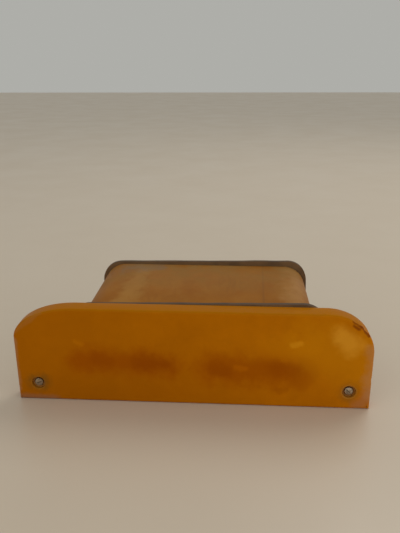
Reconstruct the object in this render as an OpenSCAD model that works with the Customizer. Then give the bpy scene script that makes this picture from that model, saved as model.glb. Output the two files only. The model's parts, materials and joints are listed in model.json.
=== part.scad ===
// Amber pedestrian-crossing warning light, flush-mounting pattern.
// A thick amber face plate carries an amber barrel between two black gaskets. Four tie rods clamp
// the rear cover against the barrel. The cover carries the gear tray with its two festoon lamps,
// and cover and tray draw out to the rear along the rods once the four thumb nuts are undone.
// Frame: +X right and +Y to the rear as seen from the front, +Z up, in millimetres.
// Origin: middle of the face plate's bottom edge.

/* [Face plate] */
// Width of the face plate
plate_w = 240; // [222:1:300]
// Height of the face plate
plate_h = 68.6; // [64:0.2:84]
// Thickness of the face plate
plate_t = 12; // [10:0.5:15]
// Width of the upper left corner's hand-cut curve
left_corner_w = 42; // [20:0.5:52]
// Height of the upper left corner's curve
left_corner_h = 22; // [14:0.5:34]
// Width of the upper right corner's curve
right_corner_w = 31.5; // [20:0.5:52]
// Height of the upper right corner's curve
right_corner_h = 27.5; // [14:0.5:34]

/* [Mounting screws] */
// Distance from a side edge of the plate to the nearer mounting screw
screw_inset = 14.3; // [10:0.1:18]
// Height of the mounting screws above the bottom edge
screw_z = 12.8; // [9:0.1:16]
// Shank diameter of the mounting screws
screw_d = 3; // [2.5:0.5:4]
// Length of shank that stands out behind the plate
screw_reach = 16; // [10:1:24]
// Diameter of the screw head
screw_head_d = 5.6; // [5:0.1:7]
// Height of the screw head
screw_head_h = 2.2; // [1.6:0.1:2.8]
// Diameter of the counterbore round the head
counterbore_d = 9; // [8.4:0.1:11]
// Depth of the counterbore
counterbore_depth = 4; // [3.4:0.1:5]

/* [Barrel] */
// Width of the barrel over its outside
barrel_w = 161; // [140:1:178]
// How far the barrel's top lies below the face plate's top
barrel_top_drop = 2.4; // [1:0.1:4]
// Length of the barrel between the gaskets
barrel_len = 85; // [78:1:110]
// Wall of the barrel
barrel_wall = 3; // [2:0.25:4]
// Radius of the barrel's outer corners
barrel_corner_r = 17; // [14:0.5:20]
// Sideways shift of the barrel's centre from the plate's centre
barrel_shift = 3.2; // [0:0.1:6]
// Height of the barrel's underside above the table
barrel_lift = 2.2; // [1:0.1:4]

/* [Gaskets] */
// Thickness of each gasket
gasket_t = 3; // [2:0.5:4]
// How far the gaskets stand out above and below the barrel
gasket_lip = 3; // [1.5:0.1:4]
// How far the front gasket stands out at the barrel's sides
front_side_lip = 7; // [3:0.1:8]
// How far the rear gasket stands out at the barrel's sides
rear_side_lip = 2.2; // [1.5:0.1:4]
// Corner radius of the gaskets
gasket_corner_r = 16; // [12:0.5:18]
// Angle by which the hand-cut gaskets sit askew
gasket_skew = 1; // [0:0.1:1.2]
// Gap between the gaskets' trimmed feet and the table
gasket_foot = 0.3; // [0.2:0.1:1]

/* [Tie rods and thumb nuts] */
// Diameter of the tie rods
rod_d = 4; // [3:0.5:5]
// Room between a nut's circlip and the barrel's inside at the sides
clip_room_x = 4.8; // [3.5:0.1:7]
// Room between a nut's circlip and the barrel's inside above and below
clip_room_z = 2.3; // [2:0.1:5]
// Depth of the brass inserts in the plate
insert_len = 7.5; // [5:0.5:8.5]
// Diameter of the brass inserts
insert_d = 6; // [5.5:0.1:7]
// Diameter of a thumb nut over its grip
nut_d = 12; // [11:0.5:13]
// Thickness of a thumb nut
nut_h = 8; // [6:0.5:10]

/* [Rear cover] */
// Thickness of the rear cover
cover_t = 3; // [2:0.25:4]
// How far the cover's rim stands out behind it
cover_rim_h = 1.5; // [1:0.25:3]
// Width of the cover's rim
cover_rim_w = 2; // [1.5:0.25:2.5]

/* [Gear tray] */
// Thickness of the tray's sheet
sheet_t = 1; // [0.8:0.1:1.2]
// Gap between the tray's floor and the inside of the barrel
tray_gap = 1.8; // [1:0.1:3]
// Radius of the reflector
reflector_r = 19; // [16:0.5:21]
// Distance of the lamps from the back of the face plate
lamp_setback = 18; // [15:0.5:22]
// How far the reflector's full circle would dip below the tray's floor
reflector_dip = 2; // [1.5:0.25:4]
// Distance of the outer clip blades from the reflector's ends
blade_inset = 2; // [1:0.5:5]
// Radius of the glass of a lamp
glass_r = 7.5; // [6:0.25:8]
// Length of a lamp over its two caps
lamp_len = 41; // [38:1:42]
// Radius of the insulated leads
lead_r = 1.1; // [0.8:0.1:1.3]

/* [Cable gland] */
// Sideways distance of the cable gland from the barrel's centre
gland_x = 38; // [33:1:42]
// Radius of the gland's thread
gland_r = 6; // [5:0.5:7]
// Radius of the cable that the gland's seal takes
cable_r = 3.2; // [2.5:0.1:3.6]

/* [Hidden] */
$fn = 64;
EDGE = 0.05;                                  // overlap that joins two solids of one piece
CORNER_STEPS = 18;                            // edges round one upper corner of the plate
RUN = 0.05;                                   // radial clearance of a running fit
FREE = 0.25;                                  // radial clearance of a free hole
SEAT = 0.02;                                  // gap between a gasket and the face behind it
SHANK = 0.2;                                  // how far the plain shank is within the thread

// Stations along Y
plate_front = -plate_t / 2;
plate_back = plate_t / 2;
barrel_front = plate_back + gasket_t;
barrel_back = barrel_front + barrel_len;
cover_front = barrel_back + gasket_t;
cover_back = cover_front + cover_t;

// The barrel's own centre, which the rods, cover and gear follow
cx = barrel_shift;
barrel_h = plate_h - barrel_lift - barrel_top_drop;
cz = barrel_lift + barrel_h / 2;
inner_w = barrel_w - 2 * barrel_wall;
inner_h = barrel_h - 2 * barrel_wall;
inner_r = barrel_corner_r - barrel_wall;
inner_floor = cz - inner_h / 2;
spigot_r = rod_d / 2 + 1.4;                   // neck of a thumb nut, through cover and washer
clip_r = spigot_r + 1.3;                      // circlip on a thumb nut's neck
rod_x = inner_w / 2 - clip_r - clip_room_x;
rod_z = inner_h / 2 - clip_r - clip_room_z;

// Tray, lamps and clips
tray_floor = inner_floor + tray_gap;          // underside of the tray
floor_top = tray_floor + sheet_t;             // what stands on the tray stands at this height
tray_front = barrel_front + 2;
tray_back = cover_front - 8;                  // the hooks stop short of the thumb nuts' clips
tray_half = rod_x - rod_d / 2 - 4.5;          // outer face of a side wall
floor_half = tray_half - sheet_t;
tail_half = rod_x - 16;                       // the narrow tail between the thumb nuts
board_t = 2;
board_top = floor_top + board_t;
strip_t = 0.6;                                // thickness of the spring strip of the clips
lamp_y = plate_back + lamp_setback;
blade_x = lamp_len / 2 - 1.1;                 // a clip blade's distance from its lamp's centre
cap_r = 4.1;
tip_r = 0.9;
tip_len = 3;
lamp_rise = reflector_r - reflector_dip;      // height of the lamps above the tray's floor
lamp_z = floor_top + lamp_rise;
reflector_foot = sqrt(pow(reflector_r, 2) - pow(lamp_rise, 2));
shoulder = glass_r * 2 / 3;                   // half length of the glass's straight stretch
glass_end = shoulder + glass_r;
glass_wall = 0.8;
clip_w = 8;
foot_len = 8;
reflector_t = 0.8;
reflector_half = floor_half - 1;
reflector_h = 35;
pass_z = floor_top + 8;                       // height of the lead holes in the reflector
pass_x = reflector_half - 9.5;                // sideways distance of the outer lead holes
lamp_x = reflector_half - blade_inset - blade_x;

// Terminal block
block_x = 24;                                 // middle of the block, from the barrel's centre
way_pitch = 11;
ways = 3;
block_w = way_pitch * ways + 5;
block_d = 18;
block_h = 14;
block_y = barrel_front + barrel_len - 27;
sleeve_r = 2.6;
sleeve_z = floor_top + 6;

// Small fasteners
rivet_r = 1.25;
rivet_head_r = 2.1;
rivet_head_h = 0.8;

ROD_PLACES = [for (sz = [1, -1], sx = [-1, 1]) [cx + sx * rod_x, cz + sz * rod_z]];
FAR_NUT = nut_h + 1;                          // washer and thumb nut together

// ---- helpers ----

// A 2-D shape drawn in X and Z, extruded from y towards the rear
module along_y(y, len) {
    translate([0, y + len, 0]) rotate([90, 0, 0]) linear_extrude(height = len) children();
}

// A round bar along Y
module bar_y(x, y, z, r, len) {
    translate([x, y, z]) rotate([-90, 0, 0]) cylinder(h = len, r = r);
}

// A round bar along X, centred on x
module bar_x(x, y, z, r, len) {
    translate([x - len / 2, y, z]) rotate([0, 90, 0]) cylinder(h = len, r = r);
}

// A rounded rectangle about the origin
module rounded(w, h, r) {
    square([w - 2 * r, h], center = true);
    square([w, h - 2 * r], center = true);
    for (sx = [-1, 1], sy = [-1, 1]) translate([sx * (w / 2 - r), sy * (h / 2 - r)]) circle(r);
}

module hex_y(x, y, z, across_flats, len) {
    translate([x, y, z]) rotate([-90, 0, 0])
        cylinder(h = len, r = across_flats / 2 / cos(30), $fn = 6);
}

// ---- housing ----

// A quarter of an ellipse of half axes a and b, from the given angle on
function quarter(x, z, a, b, start) = [for (i = [0:CORNER_STEPS])
    let (t = start + 90 * i / CORNER_STEPS) [x + a * cos(t), z + b * sin(t)]];

module plate_outline() polygon(concat([[-plate_w / 2, 0], [plate_w / 2, 0]],
    quarter(plate_w / 2 - right_corner_w, plate_h - right_corner_h, right_corner_w,
        right_corner_h, 0),
    quarter(-plate_w / 2 + left_corner_w, plate_h - left_corner_h, left_corner_w,
        left_corner_h, 90)));

module face_plate() color("darkorange") difference() {
    along_y(plate_front, plate_t) plate_outline();
    for (s = [-1, 1]) {
        bar_y(s * (plate_w / 2 - screw_inset), plate_front - 1, screw_z, screw_d / 2 + FREE,
            plate_t + 2);
        bar_y(s * (plate_w / 2 - screw_inset), plate_front - 1, screw_z, counterbore_d / 2,
            counterbore_depth + 1);
    }
    for (p = ROD_PLACES) bar_y(p.x, plate_back - insert_len, p.y, insert_d / 2, insert_len + 1);
}

module face_inserts() color("goldenrod") for (p = ROD_PLACES) difference() {
    bar_y(p.x, plate_back - insert_len, p.y, insert_d / 2, insert_len);
    bar_y(p.x, plate_back - insert_len + 1, p.y, rod_d / 2, insert_len);
}

cup_t = 1.2;
head_seat = plate_front + counterbore_depth - cup_t;   // where the head bears on its cup

module mounting_screws() color("silver") for (s = [-1, 1]) {
    x = s * (plate_w / 2 - screw_inset);
    difference() {
        bar_y(x, head_seat - screw_head_h, screw_z, screw_head_d / 2, screw_head_h);
        translate([x - screw_head_d, head_seat - screw_head_h - 1, screw_z - 0.4])
            cube([2 * screw_head_d, 1.9, 0.8]);
    }
    bar_y(x, head_seat - EDGE, screw_z, screw_d / 2 - SHANK, plate_back - head_seat + 2 * EDGE);
    bar_y(x, plate_back, screw_z, screw_d / 2, screw_reach);
}

// A rubber cup with a floor under the head and a wall round it
module screw_cups() color("black") for (s = [-1, 1]) {
    x = s * (plate_w / 2 - screw_inset);
    difference() {
        bar_y(x, head_seat - 1, screw_z, counterbore_d / 2, cup_t + 1);
        bar_y(x, head_seat - 2, screw_z, screw_head_d / 2 + 0.5, 2);
        bar_y(x, head_seat - 1, screw_z, screw_d / 2 - SHANK, cup_t + 2);
    }
}

// A flat ring at the end of the barrel, slightly askew and trimmed just above the table
module gasket(y, side_lip) color("black") intersection() {
    translate([cx, 0, cz]) rotate([0, -gasket_skew, 0]) along_y(y, gasket_t - SEAT) difference() {
        rounded(barrel_w + 2 * side_lip, barrel_h + 2 * gasket_lip, gasket_corner_r);
        rounded(inner_w, inner_h, inner_r);
    }
    translate([-barrel_w, y - 1, gasket_foot]) cube([2 * barrel_w, gasket_t + 2, 2 * barrel_h]);
}

module front_gasket() gasket(plate_back, front_side_lip);

module rear_gasket() gasket(barrel_back, rear_side_lip);

module barrel() color("orange") translate([cx, 0, cz]) along_y(barrel_front, barrel_len)
    difference() {
        rounded(barrel_w, barrel_h, barrel_corner_r);
        rounded(inner_w, inner_h, inner_r);
    }

rod_start = plate_back - insert_len + 1;
rod_end = cover_back + FAR_NUT - 1.5;

module tie_rods() color("silver") for (p = ROD_PLACES)
    bar_y(p.x, rod_start, p.y, rod_d / 2, rod_end - rod_start);

// ---- rear cover and its nuts ----

cover_h = cz + barrel_h / 2;                  // the cover stands on the table

module cover_outline(inset) translate([cx, cover_h / 2])
    rounded(barrel_w - 2 * inset, cover_h - 2 * inset, barrel_corner_r - inset);

gland_z = cz;

module rear_cover() color("dimgray") difference() {
    union() {
        along_y(cover_front, cover_t) cover_outline(0);
        along_y(cover_back - EDGE, cover_rim_h + EDGE) difference() {
            cover_outline(0);
            cover_outline(cover_rim_w);
        }
    }
    for (p = ROD_PLACES)
        bar_y(p.x, cover_front - 1, p.y, spigot_r + FREE, cover_t + cover_rim_h + 2);
    bar_y(cx + gland_x, cover_front - 1, gland_z, gland_r + FREE, cover_t + 2);
    for (x = TRAY_SCREWS) bar_y(cx + x, cover_front - 1, tray_screw_z, rivet_r, cover_t + 2);
}

washer_t = 1;

module cover_washers() color("silver") for (p = ROD_PLACES) difference() {
    bar_y(p.x, cover_back, p.y, nut_d / 2 - 1.5, washer_t);
    bar_y(p.x, cover_back - 1, p.y, spigot_r + FREE, washer_t + 2);
}

clip_gap = 0.3;                               // end float of a captive nut
clip_t = 0.8;
grip_flutes = 18;

// A fluted grip with a neck that reaches through the cover
module thumb_nut(i) {
    p = ROD_PLACES[i];
    color("gold") translate([p.x, 0, p.y]) difference() {
        union() {
            bar_y(0, cover_back + washer_t, 0, nut_d / 2, nut_h);
            bar_y(0, cover_front - clip_gap - clip_t - 0.6, 0, spigot_r,
                cover_back + washer_t - cover_front + clip_gap + clip_t + 0.6 + EDGE);
        }
        bar_y(0, cover_front - 5, 0, rod_d / 2 + RUN, cover_t + washer_t + nut_h + 10);
        for (k = [0:grip_flutes - 1]) rotate([0, k * 360 / grip_flutes, 0])
            bar_y(nut_d / 2 + 0.35, cover_back + washer_t + 1.5, 0, 0.9, nut_h);
    }
}

// The circlip that keeps a thumb nut in the cover
module nut_clip(i) {
    p = ROD_PLACES[i];
    color("silver") difference() {
        bar_y(p.x, cover_front - clip_gap - clip_t, p.y, clip_r, clip_t);
        bar_y(p.x, cover_front - clip_gap - clip_t - 1, p.y, spigot_r, clip_t + 2);
    }
}

// ---- gear tray ----

TRAY_SCREWS = [-30, 14];
tray_screw_z = floor_top + 11;

module lamp_tray() color("white") difference() {
    union() {
        translate([cx - tray_half, tray_front, tray_floor])
            cube([2 * tray_half, tray_back - tray_front, sheet_t]);
        translate([cx - tail_half, tray_back - EDGE, tray_floor])
            cube([2 * tail_half, cover_front - tray_back + EDGE, sheet_t]);
        translate([cx - tail_half, cover_front - sheet_t, tray_floor])
            cube([gland_x - gland_r - 4 + tail_half, sheet_t, tray_screw_z + 5 - tray_floor]);
        for (s = [-1, 1]) {
            translate([cx + s * (tray_half - sheet_t / 2) - sheet_t / 2, tray_front, tray_floor])
                cube([sheet_t, tray_back - tray_front, hook_z + sheet_t - tray_floor]);
            translate([cx + s * (tray_half + hook_w / 2 - EDGE) - hook_w / 2, tray_front, hook_z])
                cube([hook_w, tray_back - tray_front, sheet_t]);
        }
    }
    for (x = TRAY_SCREWS) bar_y(cx + x, cover_front - 5, tray_screw_z, rivet_r, 10);
    for (s = [-1, 1]) {
        translate([cx + s * rivet_x, rivet_y, tray_floor - 1]) cylinder(h = 5, r = rivet_r);
        translate([cx + s * board_screw_x, lamp_y, tray_floor - 1]) cylinder(h = 5, r = rivet_r);
        translate([cx + block_x + s * way_pitch / 2, block_y, tray_floor - 1])
            cylinder(h = 5, r = rivet_r);
    }
    translate([cx + earth_x, earth_y, tray_floor - 1]) cylinder(h = 5, r = 1.5 + RUN);
}

hook_z = cz - rod_z + rod_d / 2 + 0.3;        // underside of the hooks, just over the lower rods
hook_w = 8;

// Screws with washers' flanges that hold the tray's tail to the cover
module tray_screws() color("silver") for (x = TRAY_SCREWS) {
    bar_y(cx + x, cover_front - sheet_t - 2.2, tray_screw_z, rivet_r, cover_t + sheet_t + 2.2);
    bar_y(cx + x, cover_back, tray_screw_z, 2.6, 1.8);
    bar_y(cx + x, cover_back - EDGE, tray_screw_z, rivet_r, 1);
    hex_y(cx + x, cover_front - sheet_t - 2, tray_screw_z, 5, 2);
}

rivet_x = 44;
rivet_y = lamp_y + reflector_r - 1;

module reflector() color("white") difference() {
    union() {
        intersection() {
            difference() {
                bar_x(cx, lamp_y, lamp_z, reflector_r + reflector_t, 2 * reflector_half);
                bar_x(cx, lamp_y, lamp_z, reflector_r, 2 * reflector_half + 2);
            }
            translate([cx - reflector_half - 1, lamp_y + reflector_foot - 2, floor_top])
                cube([2 * reflector_half + 2, reflector_r + 5, reflector_h]);
        }
        difference() {
            translate([cx - reflector_half, lamp_y + reflector_foot + 0.5, floor_top])
                cube([2 * reflector_half, reflector_r - reflector_foot + 3, reflector_t]);
            bar_x(cx, lamp_y, lamp_z, reflector_r + EDGE, 2 * reflector_half + 2);
        }
    }
    for (x = [-pass_x, 0, pass_x]) bar_y(cx + x, lamp_y, pass_z, lead_r + 1, reflector_r + 5);
    for (s = [-1, 1]) translate([cx + s * rivet_x, rivet_y, floor_top - 1])
        cylinder(h = 5, r = rivet_r);
}

// A rivet or screw that stands on its head, from z down to the tray's underside
module tray_rivet(x, y, z) {
    translate([x, y, tray_floor]) cylinder(h = z - tray_floor + EDGE, r = rivet_r);
    translate([x, y, z]) cylinder(h = rivet_head_h, r = rivet_head_r);
}

module reflector_rivets() color("silver") for (s = [-1, 1])
    tray_rivet(cx + s * rivet_x, rivet_y, floor_top + reflector_t);

board_screw_x = (lamp_x - blade_x) / 2;
board_front = lamp_y - 10;
board_d = lamp_y + reflector_foot - 0.5 - board_front;

module lamp_board() color("saddlebrown") difference() {
    translate([cx - reflector_half, board_front, floor_top])
        cube([2 * reflector_half, board_d, board_t]);
    for (s = [-1, 1]) translate([cx + s * board_screw_x, lamp_y, floor_top - 1])
        cylinder(h = 5, r = rivet_r);
    for (x = CLIP_RIVETS) translate([x, lamp_y, floor_top - 1]) cylinder(h = 5, r = rivet_r);
}

module board_screws() color("silver") for (s = [-1, 1])
    tray_rivet(cx + s * board_screw_x, lamp_y, board_top + strip_t);

LAMPS = [cx - lamp_x, cx + lamp_x];
CLIP_RIVETS = [LAMPS[0] - blade_x + 5, LAMPS[0] + blade_x - 5, LAMPS[1] - blade_x + 5,
    LAMPS[1] + blade_x - 5];

// One upright blade at x with the hole that takes a lamp's tip
module blade(x) difference() {
    translate([x - strip_t / 2, lamp_y - clip_w / 2, board_top])
        cube([strip_t, clip_w, lamp_z + 6 - board_top]);
    bar_x(x, lamp_y, lamp_z, 2.35, 4);
}

// A flat strip on the board from x0 to x1, with its rivet holes
module strip(x0, x1, holes) difference() {
    translate([x0, lamp_y - clip_w / 2, board_top]) cube([x1 - x0, clip_w, strip_t]);
    for (x = holes) translate([x, lamp_y, board_top - 1]) cylinder(h = 3, r = rivet_r);
}

module left_end_clip() color("goldenrod") {
    x = LAMPS[0] - blade_x;
    blade(x);
    strip(x, x + foot_len, [CLIP_RIVETS[0]]);
}

module centre_clip() color("goldenrod") {
    blade(LAMPS[0] + blade_x);
    blade(LAMPS[1] - blade_x);
    strip(CLIP_RIVETS[1] - 3, CLIP_RIVETS[2] + 3,
        [CLIP_RIVETS[1], CLIP_RIVETS[2], cx - board_screw_x, cx + board_screw_x]);
}

module right_end_clip() color("goldenrod") {
    x = LAMPS[1] + blade_x;
    blade(x);
    strip(x - foot_len, x, [CLIP_RIVETS[3]]);
}

module clip_rivets() color("silver") for (x = CLIP_RIVETS) {
    translate([x, lamp_y, floor_top]) cylinder(h = board_t + strip_t + EDGE, r = rivet_r);
    translate([x, lamp_y, board_top + strip_t]) cylinder(h = rivet_head_h, r = rivet_head_r);
}

// ---- lamps ----

module bulb_form(x, r, half) {
    bar_x(x, lamp_y, lamp_z, r, 2 * half);
    for (s = [-1, 1]) translate([x + s * half, lamp_y, lamp_z]) sphere(r);
}

module lamp_glass(x) color("lightyellow") difference() {
    bulb_form(x, glass_r, shoulder);
    bulb_form(x, glass_r - glass_wall, shoulder);
}

module lamp_caps(x) color("silver") for (s = [-1, 1]) translate([x, lamp_y, lamp_z])
    rotate([0, s * 90, 0]) difference() {
        union() {
            translate([0, 0, glass_end - 1.2])
                cylinder(h = lamp_len / 2 - tip_len - glass_end + 1.2, r = cap_r);
            translate([0, 0, lamp_len / 2 - tip_len - EDGE])
                cylinder(h = tip_len + EDGE, r1 = cap_r, r2 = tip_r);
        }
        translate([0, 0, shoulder]) sphere(glass_r + RUN / 2);
    }

module lamp_filament(x) color("gray") {
    bar_x(x, lamp_y, lamp_z, 0.5, 2 * shoulder);
    bar_x(x, lamp_y, lamp_z, 0.3, 2 * (glass_end - glass_wall) - 0.2);
}

module left_lamp_glass() lamp_glass(LAMPS[0]);
module left_lamp_caps() lamp_caps(LAMPS[0]);
module left_lamp_filament() lamp_filament(LAMPS[0]);
module right_lamp_glass() lamp_glass(LAMPS[1]);
module right_lamp_caps() lamp_caps(LAMPS[1]);
module right_lamp_filament() lamp_filament(LAMPS[1]);

// ---- terminals and wiring ----

function way_x(i) = cx + block_x + (i - (ways - 1) / 2) * way_pitch;

module terminal_block() color("ivory") difference() {
    translate([cx + block_x - block_w / 2, block_y - block_d / 2, floor_top])
        cube([block_w, block_d, block_h]);
    for (i = [0:ways - 1]) {
        bar_y(way_x(i), block_y - block_d, sleeve_z, sleeve_r, 2 * block_d);
        for (s = [-1, 1]) translate([way_x(i), block_y + s * block_d / 4, sleeve_z])
            cylinder(h = block_h, r = 1.9);
    }
    for (s = [-1, 1]) {
        translate([cx + block_x + s * way_pitch / 2, block_y, floor_top - 1])
            cylinder(h = block_h + 2, r = rivet_r);
        translate([cx + block_x + s * way_pitch / 2, block_y, floor_top + block_h - 4])
            cylinder(h = block_h, r = rivet_head_r + FREE);
    }
}

module terminal_sleeves() color("goldenrod") for (i = [0:ways - 1]) difference() {
    bar_y(way_x(i), block_y - block_d / 2 + 1, sleeve_z, sleeve_r - RUN / 2, block_d - 2);
    bar_y(way_x(i), block_y - block_d, sleeve_z, lead_r + 0.4, 2 * block_d);
    for (s = [-1, 1]) translate([way_x(i), block_y + s * block_d / 4, sleeve_z])
        cylinder(h = block_h, r = 1.2);
}

module terminal_screws() color("silver") for (i = [0:ways - 1], s = [-1, 1])
    translate([way_x(i), block_y + s * block_d / 4, 0]) difference() {
        union() {
            translate([0, 0, sleeve_z + lead_r + 0.2]) cylinder(h = 4, r = 1.2);
            translate([0, 0, sleeve_z + sleeve_r + 0.2]) cylinder(h = 2.6, r = 1.7);
        }
        translate([-2, -0.3, sleeve_z + sleeve_r + 1.8]) cube([4, 0.6, 2]);
    }

module block_screws() color("silver") for (s = [-1, 1])
    tray_rivet(cx + block_x + s * way_pitch / 2, block_y, floor_top + block_h - 4);

// A lead swept round along a smooth curve through its points
LEAD_SIDES = 8;
LEAD_STEPS = 5;                               // rings between two points

function spline(p, i, t) =
    let (a = p[max(i - 1, 0)], b = p[i], c = p[i + 1], d = p[min(i + 2, len(p) - 1)])
    0.5 * (2 * b + (c - a) * t + (2 * a - 5 * b + 4 * c - d) * t * t
        + (3 * b - a - 3 * c + d) * t * t * t);

function smooth(p) = concat(
    [for (i = [0:len(p) - 2], k = [0:LEAD_STEPS - 1]) spline(p, i, k / LEAD_STEPS)],
    [p[len(p) - 1]]);

function unit(v) = v / norm(v);

function tangent(c, i) = unit(c[min(i + 1, len(c) - 1)] - c[max(i - 1, 0)]);

// Ring frames carried along the curve without twist
function frames(c, i, n) = i >= len(c) ? [] :
    let (t = tangent(c, i), m = unit(n - (n * t) * t))
    concat([[m, cross(t, m)]], frames(c, i + 1, m));

module lead(points) {
    c = smooth(points);
    f = frames(c, 0, [0, 0, 1]);
    n = LEAD_SIDES;
    rings = [for (i = [0:len(c) - 1], k = [0:n - 1])
        c[i] + lead_r * (cos(k * 360 / n) * f[i][0] + sin(k * 360 / n) * f[i][1])];
    sides = [for (i = [0:len(c) - 2], k = [0:n - 1])
        let (a = i * n + k, b = i * n + (k + 1) % n)
        each [[a, a + n, b], [b, a + n, b + n]]];
    polyhedron(points = rings, faces = concat(sides, [[for (k = [0:n - 1]) k]],
        [[for (k = [n - 1:-1:0]) (len(c) - 1) * n + k]]));
}

lead_entry = block_y - block_d / 2 + 3;       // how far a lead runs into its sleeve
lead_rest = board_top + strip_t + lead_r + 0.15;
pass_y = lamp_y + reflector_r;

// From a terminal to its lead hole in the reflector, then down to the foot of a clip
module clip_lead(i, x, foot_x) lead([
    [way_x(i), lead_entry, sleeve_z],
    [way_x(i), lead_entry - 4, sleeve_z],
    [way_x(i) + sign(cx + x - way_x(i)) / 4, lead_entry - 6, sleeve_z],
    [(way_x(i) + cx + x) / 2, (lead_entry + pass_y) / 2 + 0.5, pass_z + 1],
    [cx + x - sign(cx + x - way_x(i)) / 4, pass_y + 3.5, pass_z],
    [cx + x, pass_y + 1.5, pass_z],
    [cx + x, pass_y - 5, pass_z - 0.3],
    [(cx + x + foot_x) / 2, lamp_y + 8, (pass_z + lead_rest) / 2 - 1],
    [foot_x, lamp_y + 3.6, lead_rest],
    [foot_x, lamp_y + 2.6, lead_rest]]);

module left_lead() color("firebrick") clip_lead(0, -pass_x, CLIP_RIVETS[0] + 0.5);
module common_lead() color("black") clip_lead(1, 0, cx);
module right_lead() color("firebrick") clip_lead(2, pass_x, CLIP_RIVETS[3] - 0.5);

earth_x = -22;
earth_y = block_y + 2;

module earth_screw() color("silver") translate([cx + earth_x, earth_y, 0]) {
    translate([0, 0, tray_floor - 1.2]) cylinder(h = 11.2, r = 1.5);
    translate([0, 0, tray_floor - 1.2]) cylinder(h = 1.2, r = 2.8);
}

module earth_tag() color("goldenrod") translate([cx + earth_x, earth_y, floor_top]) difference() {
    union() {
        cylinder(h = 0.6, r = 3.4);
        translate([-1.6, 0, 0]) cube([3.2, 11, 0.6]);
    }
    translate([0, 0, -1]) cylinder(h = 3, r = 1.5 + RUN);
}

module earth_nut() color("goldenrod") translate([cx + earth_x, earth_y, floor_top + 0.6])
    difference() {
        cylinder(h = 2.4, r = 5.5 / 2 / cos(30), $fn = 6);
        translate([0, 0, -1]) cylinder(h = 5, r = 1.5 + RUN);
    }

// ---- cable gland ----

gland_washer_t = 1;
gland_hex = 16;
gland_flange = cover_back + gland_washer_t;
collet_end = gland_flange + 5 + 7;
gx = cx + gland_x;

module gland_body() color("dimgray") difference() {
    union() {
        bar_y(gx, cover_front - 6, gland_z, gland_r, 6 + cover_t + gland_washer_t + EDGE);
        hex_y(gx, gland_flange, gland_z, gland_hex, 5);
        bar_y(gx, gland_flange + 5 - EDGE, gland_z, gland_r - 0.2, 7 + EDGE);
    }
    bar_y(gx, cover_front - 7, gland_z, cable_r + 0.4, 40);
    bar_y(gx, gland_flange + 4, gland_z, cable_r + 1.4, 20);
}

module gland_washer() color("black") difference() {
    bar_y(gx, cover_back, gland_z, gland_r + 2.2, gland_washer_t);
    bar_y(gx, cover_back - 1, gland_z, gland_r, gland_washer_t + 2);
}

module gland_locknut() color("dimgray") difference() {
    hex_y(gx, cover_front - 3.5, gland_z, gland_hex, 3.5);
    bar_y(gx, cover_front - 5, gland_z, gland_r, 8);
}

module gland_seal() color("black") difference() {
    bar_y(gx, gland_flange + 4, gland_z, cable_r + 1.4, collet_end - gland_flange - 4 + 1);
    bar_y(gx, gland_flange, gland_z, cable_r, 40);
}

module gland_cap() color("dimgray") difference() {
    union() {
        hex_y(gx, gland_flange + 5.5, gland_z, gland_hex, 8.5);
        bar_y(gx, gland_flange + 14 - EDGE, gland_z, gland_r - 0.5, 1.5 + EDGE);
    }
    bar_y(gx, gland_flange + 5, gland_z, gland_r - 0.2 + RUN, collet_end + 1 - gland_flange - 5);
    bar_y(gx, gland_flange, gland_z, cable_r + 0.4, 40);
}

// ---- the nodes ----

face_plate();
face_inserts();
mounting_screws();
screw_cups();
front_gasket();
barrel();
rear_gasket();
tie_rods();
rear_cover();
cover_washers();
lamp_tray();
tray_screws();
reflector();
reflector_rivets();
lamp_board();
board_screws();
left_end_clip();
centre_clip();
right_end_clip();
clip_rivets();
left_lamp_glass();
left_lamp_caps();
left_lamp_filament();
right_lamp_glass();
right_lamp_caps();
right_lamp_filament();
terminal_block();
terminal_sleeves();
terminal_screws();
block_screws();
left_lead();
common_lead();
right_lead();
earth_screw();
earth_tag();
earth_nut();
gland_body();
gland_washer();
gland_locknut();
gland_seal();
gland_cap();
thumb_nut(0);  // thumb_nut_1
thumb_nut(1);  // thumb_nut_2
thumb_nut(2);  // thumb_nut_3
thumb_nut(3);  // thumb_nut_4
nut_clip(0);  // nut_clip_1
nut_clip(1);  // nut_clip_2
nut_clip(2);  // nut_clip_3
nut_clip(3);  // nut_clip_4
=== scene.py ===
"""Looks of a flush-mounting amber crossing light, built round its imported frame.

Each sub-assembly is a class that takes its places from the frame, makes its pieces and dresses
them. Lengths are in metres, +X is right, +Y is to the rear and +Z is up.
"""

import json
import logging
import math
from dataclasses import dataclass, field
from enum import Enum
from typing import Callable, Optional, Sequence

import bmesh
import bpy
from mathutils import Matrix, Vector, noise


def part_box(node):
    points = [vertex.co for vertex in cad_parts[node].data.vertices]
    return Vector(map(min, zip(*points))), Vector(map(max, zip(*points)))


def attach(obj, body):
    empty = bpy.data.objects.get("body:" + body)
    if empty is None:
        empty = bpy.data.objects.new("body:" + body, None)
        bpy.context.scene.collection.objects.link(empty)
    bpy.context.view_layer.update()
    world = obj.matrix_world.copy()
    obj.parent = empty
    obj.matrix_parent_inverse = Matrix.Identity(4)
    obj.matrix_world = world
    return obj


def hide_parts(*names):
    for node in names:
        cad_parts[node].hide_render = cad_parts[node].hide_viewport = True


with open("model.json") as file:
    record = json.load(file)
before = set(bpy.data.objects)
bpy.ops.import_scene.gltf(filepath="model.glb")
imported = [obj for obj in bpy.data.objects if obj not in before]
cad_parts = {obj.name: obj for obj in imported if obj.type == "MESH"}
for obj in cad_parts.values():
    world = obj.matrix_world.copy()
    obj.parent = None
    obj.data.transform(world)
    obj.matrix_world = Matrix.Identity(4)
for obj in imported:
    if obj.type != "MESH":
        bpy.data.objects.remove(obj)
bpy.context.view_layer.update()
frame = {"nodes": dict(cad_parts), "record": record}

LOG = logging.getLogger("crossing_light")
MM = 0.001

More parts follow.
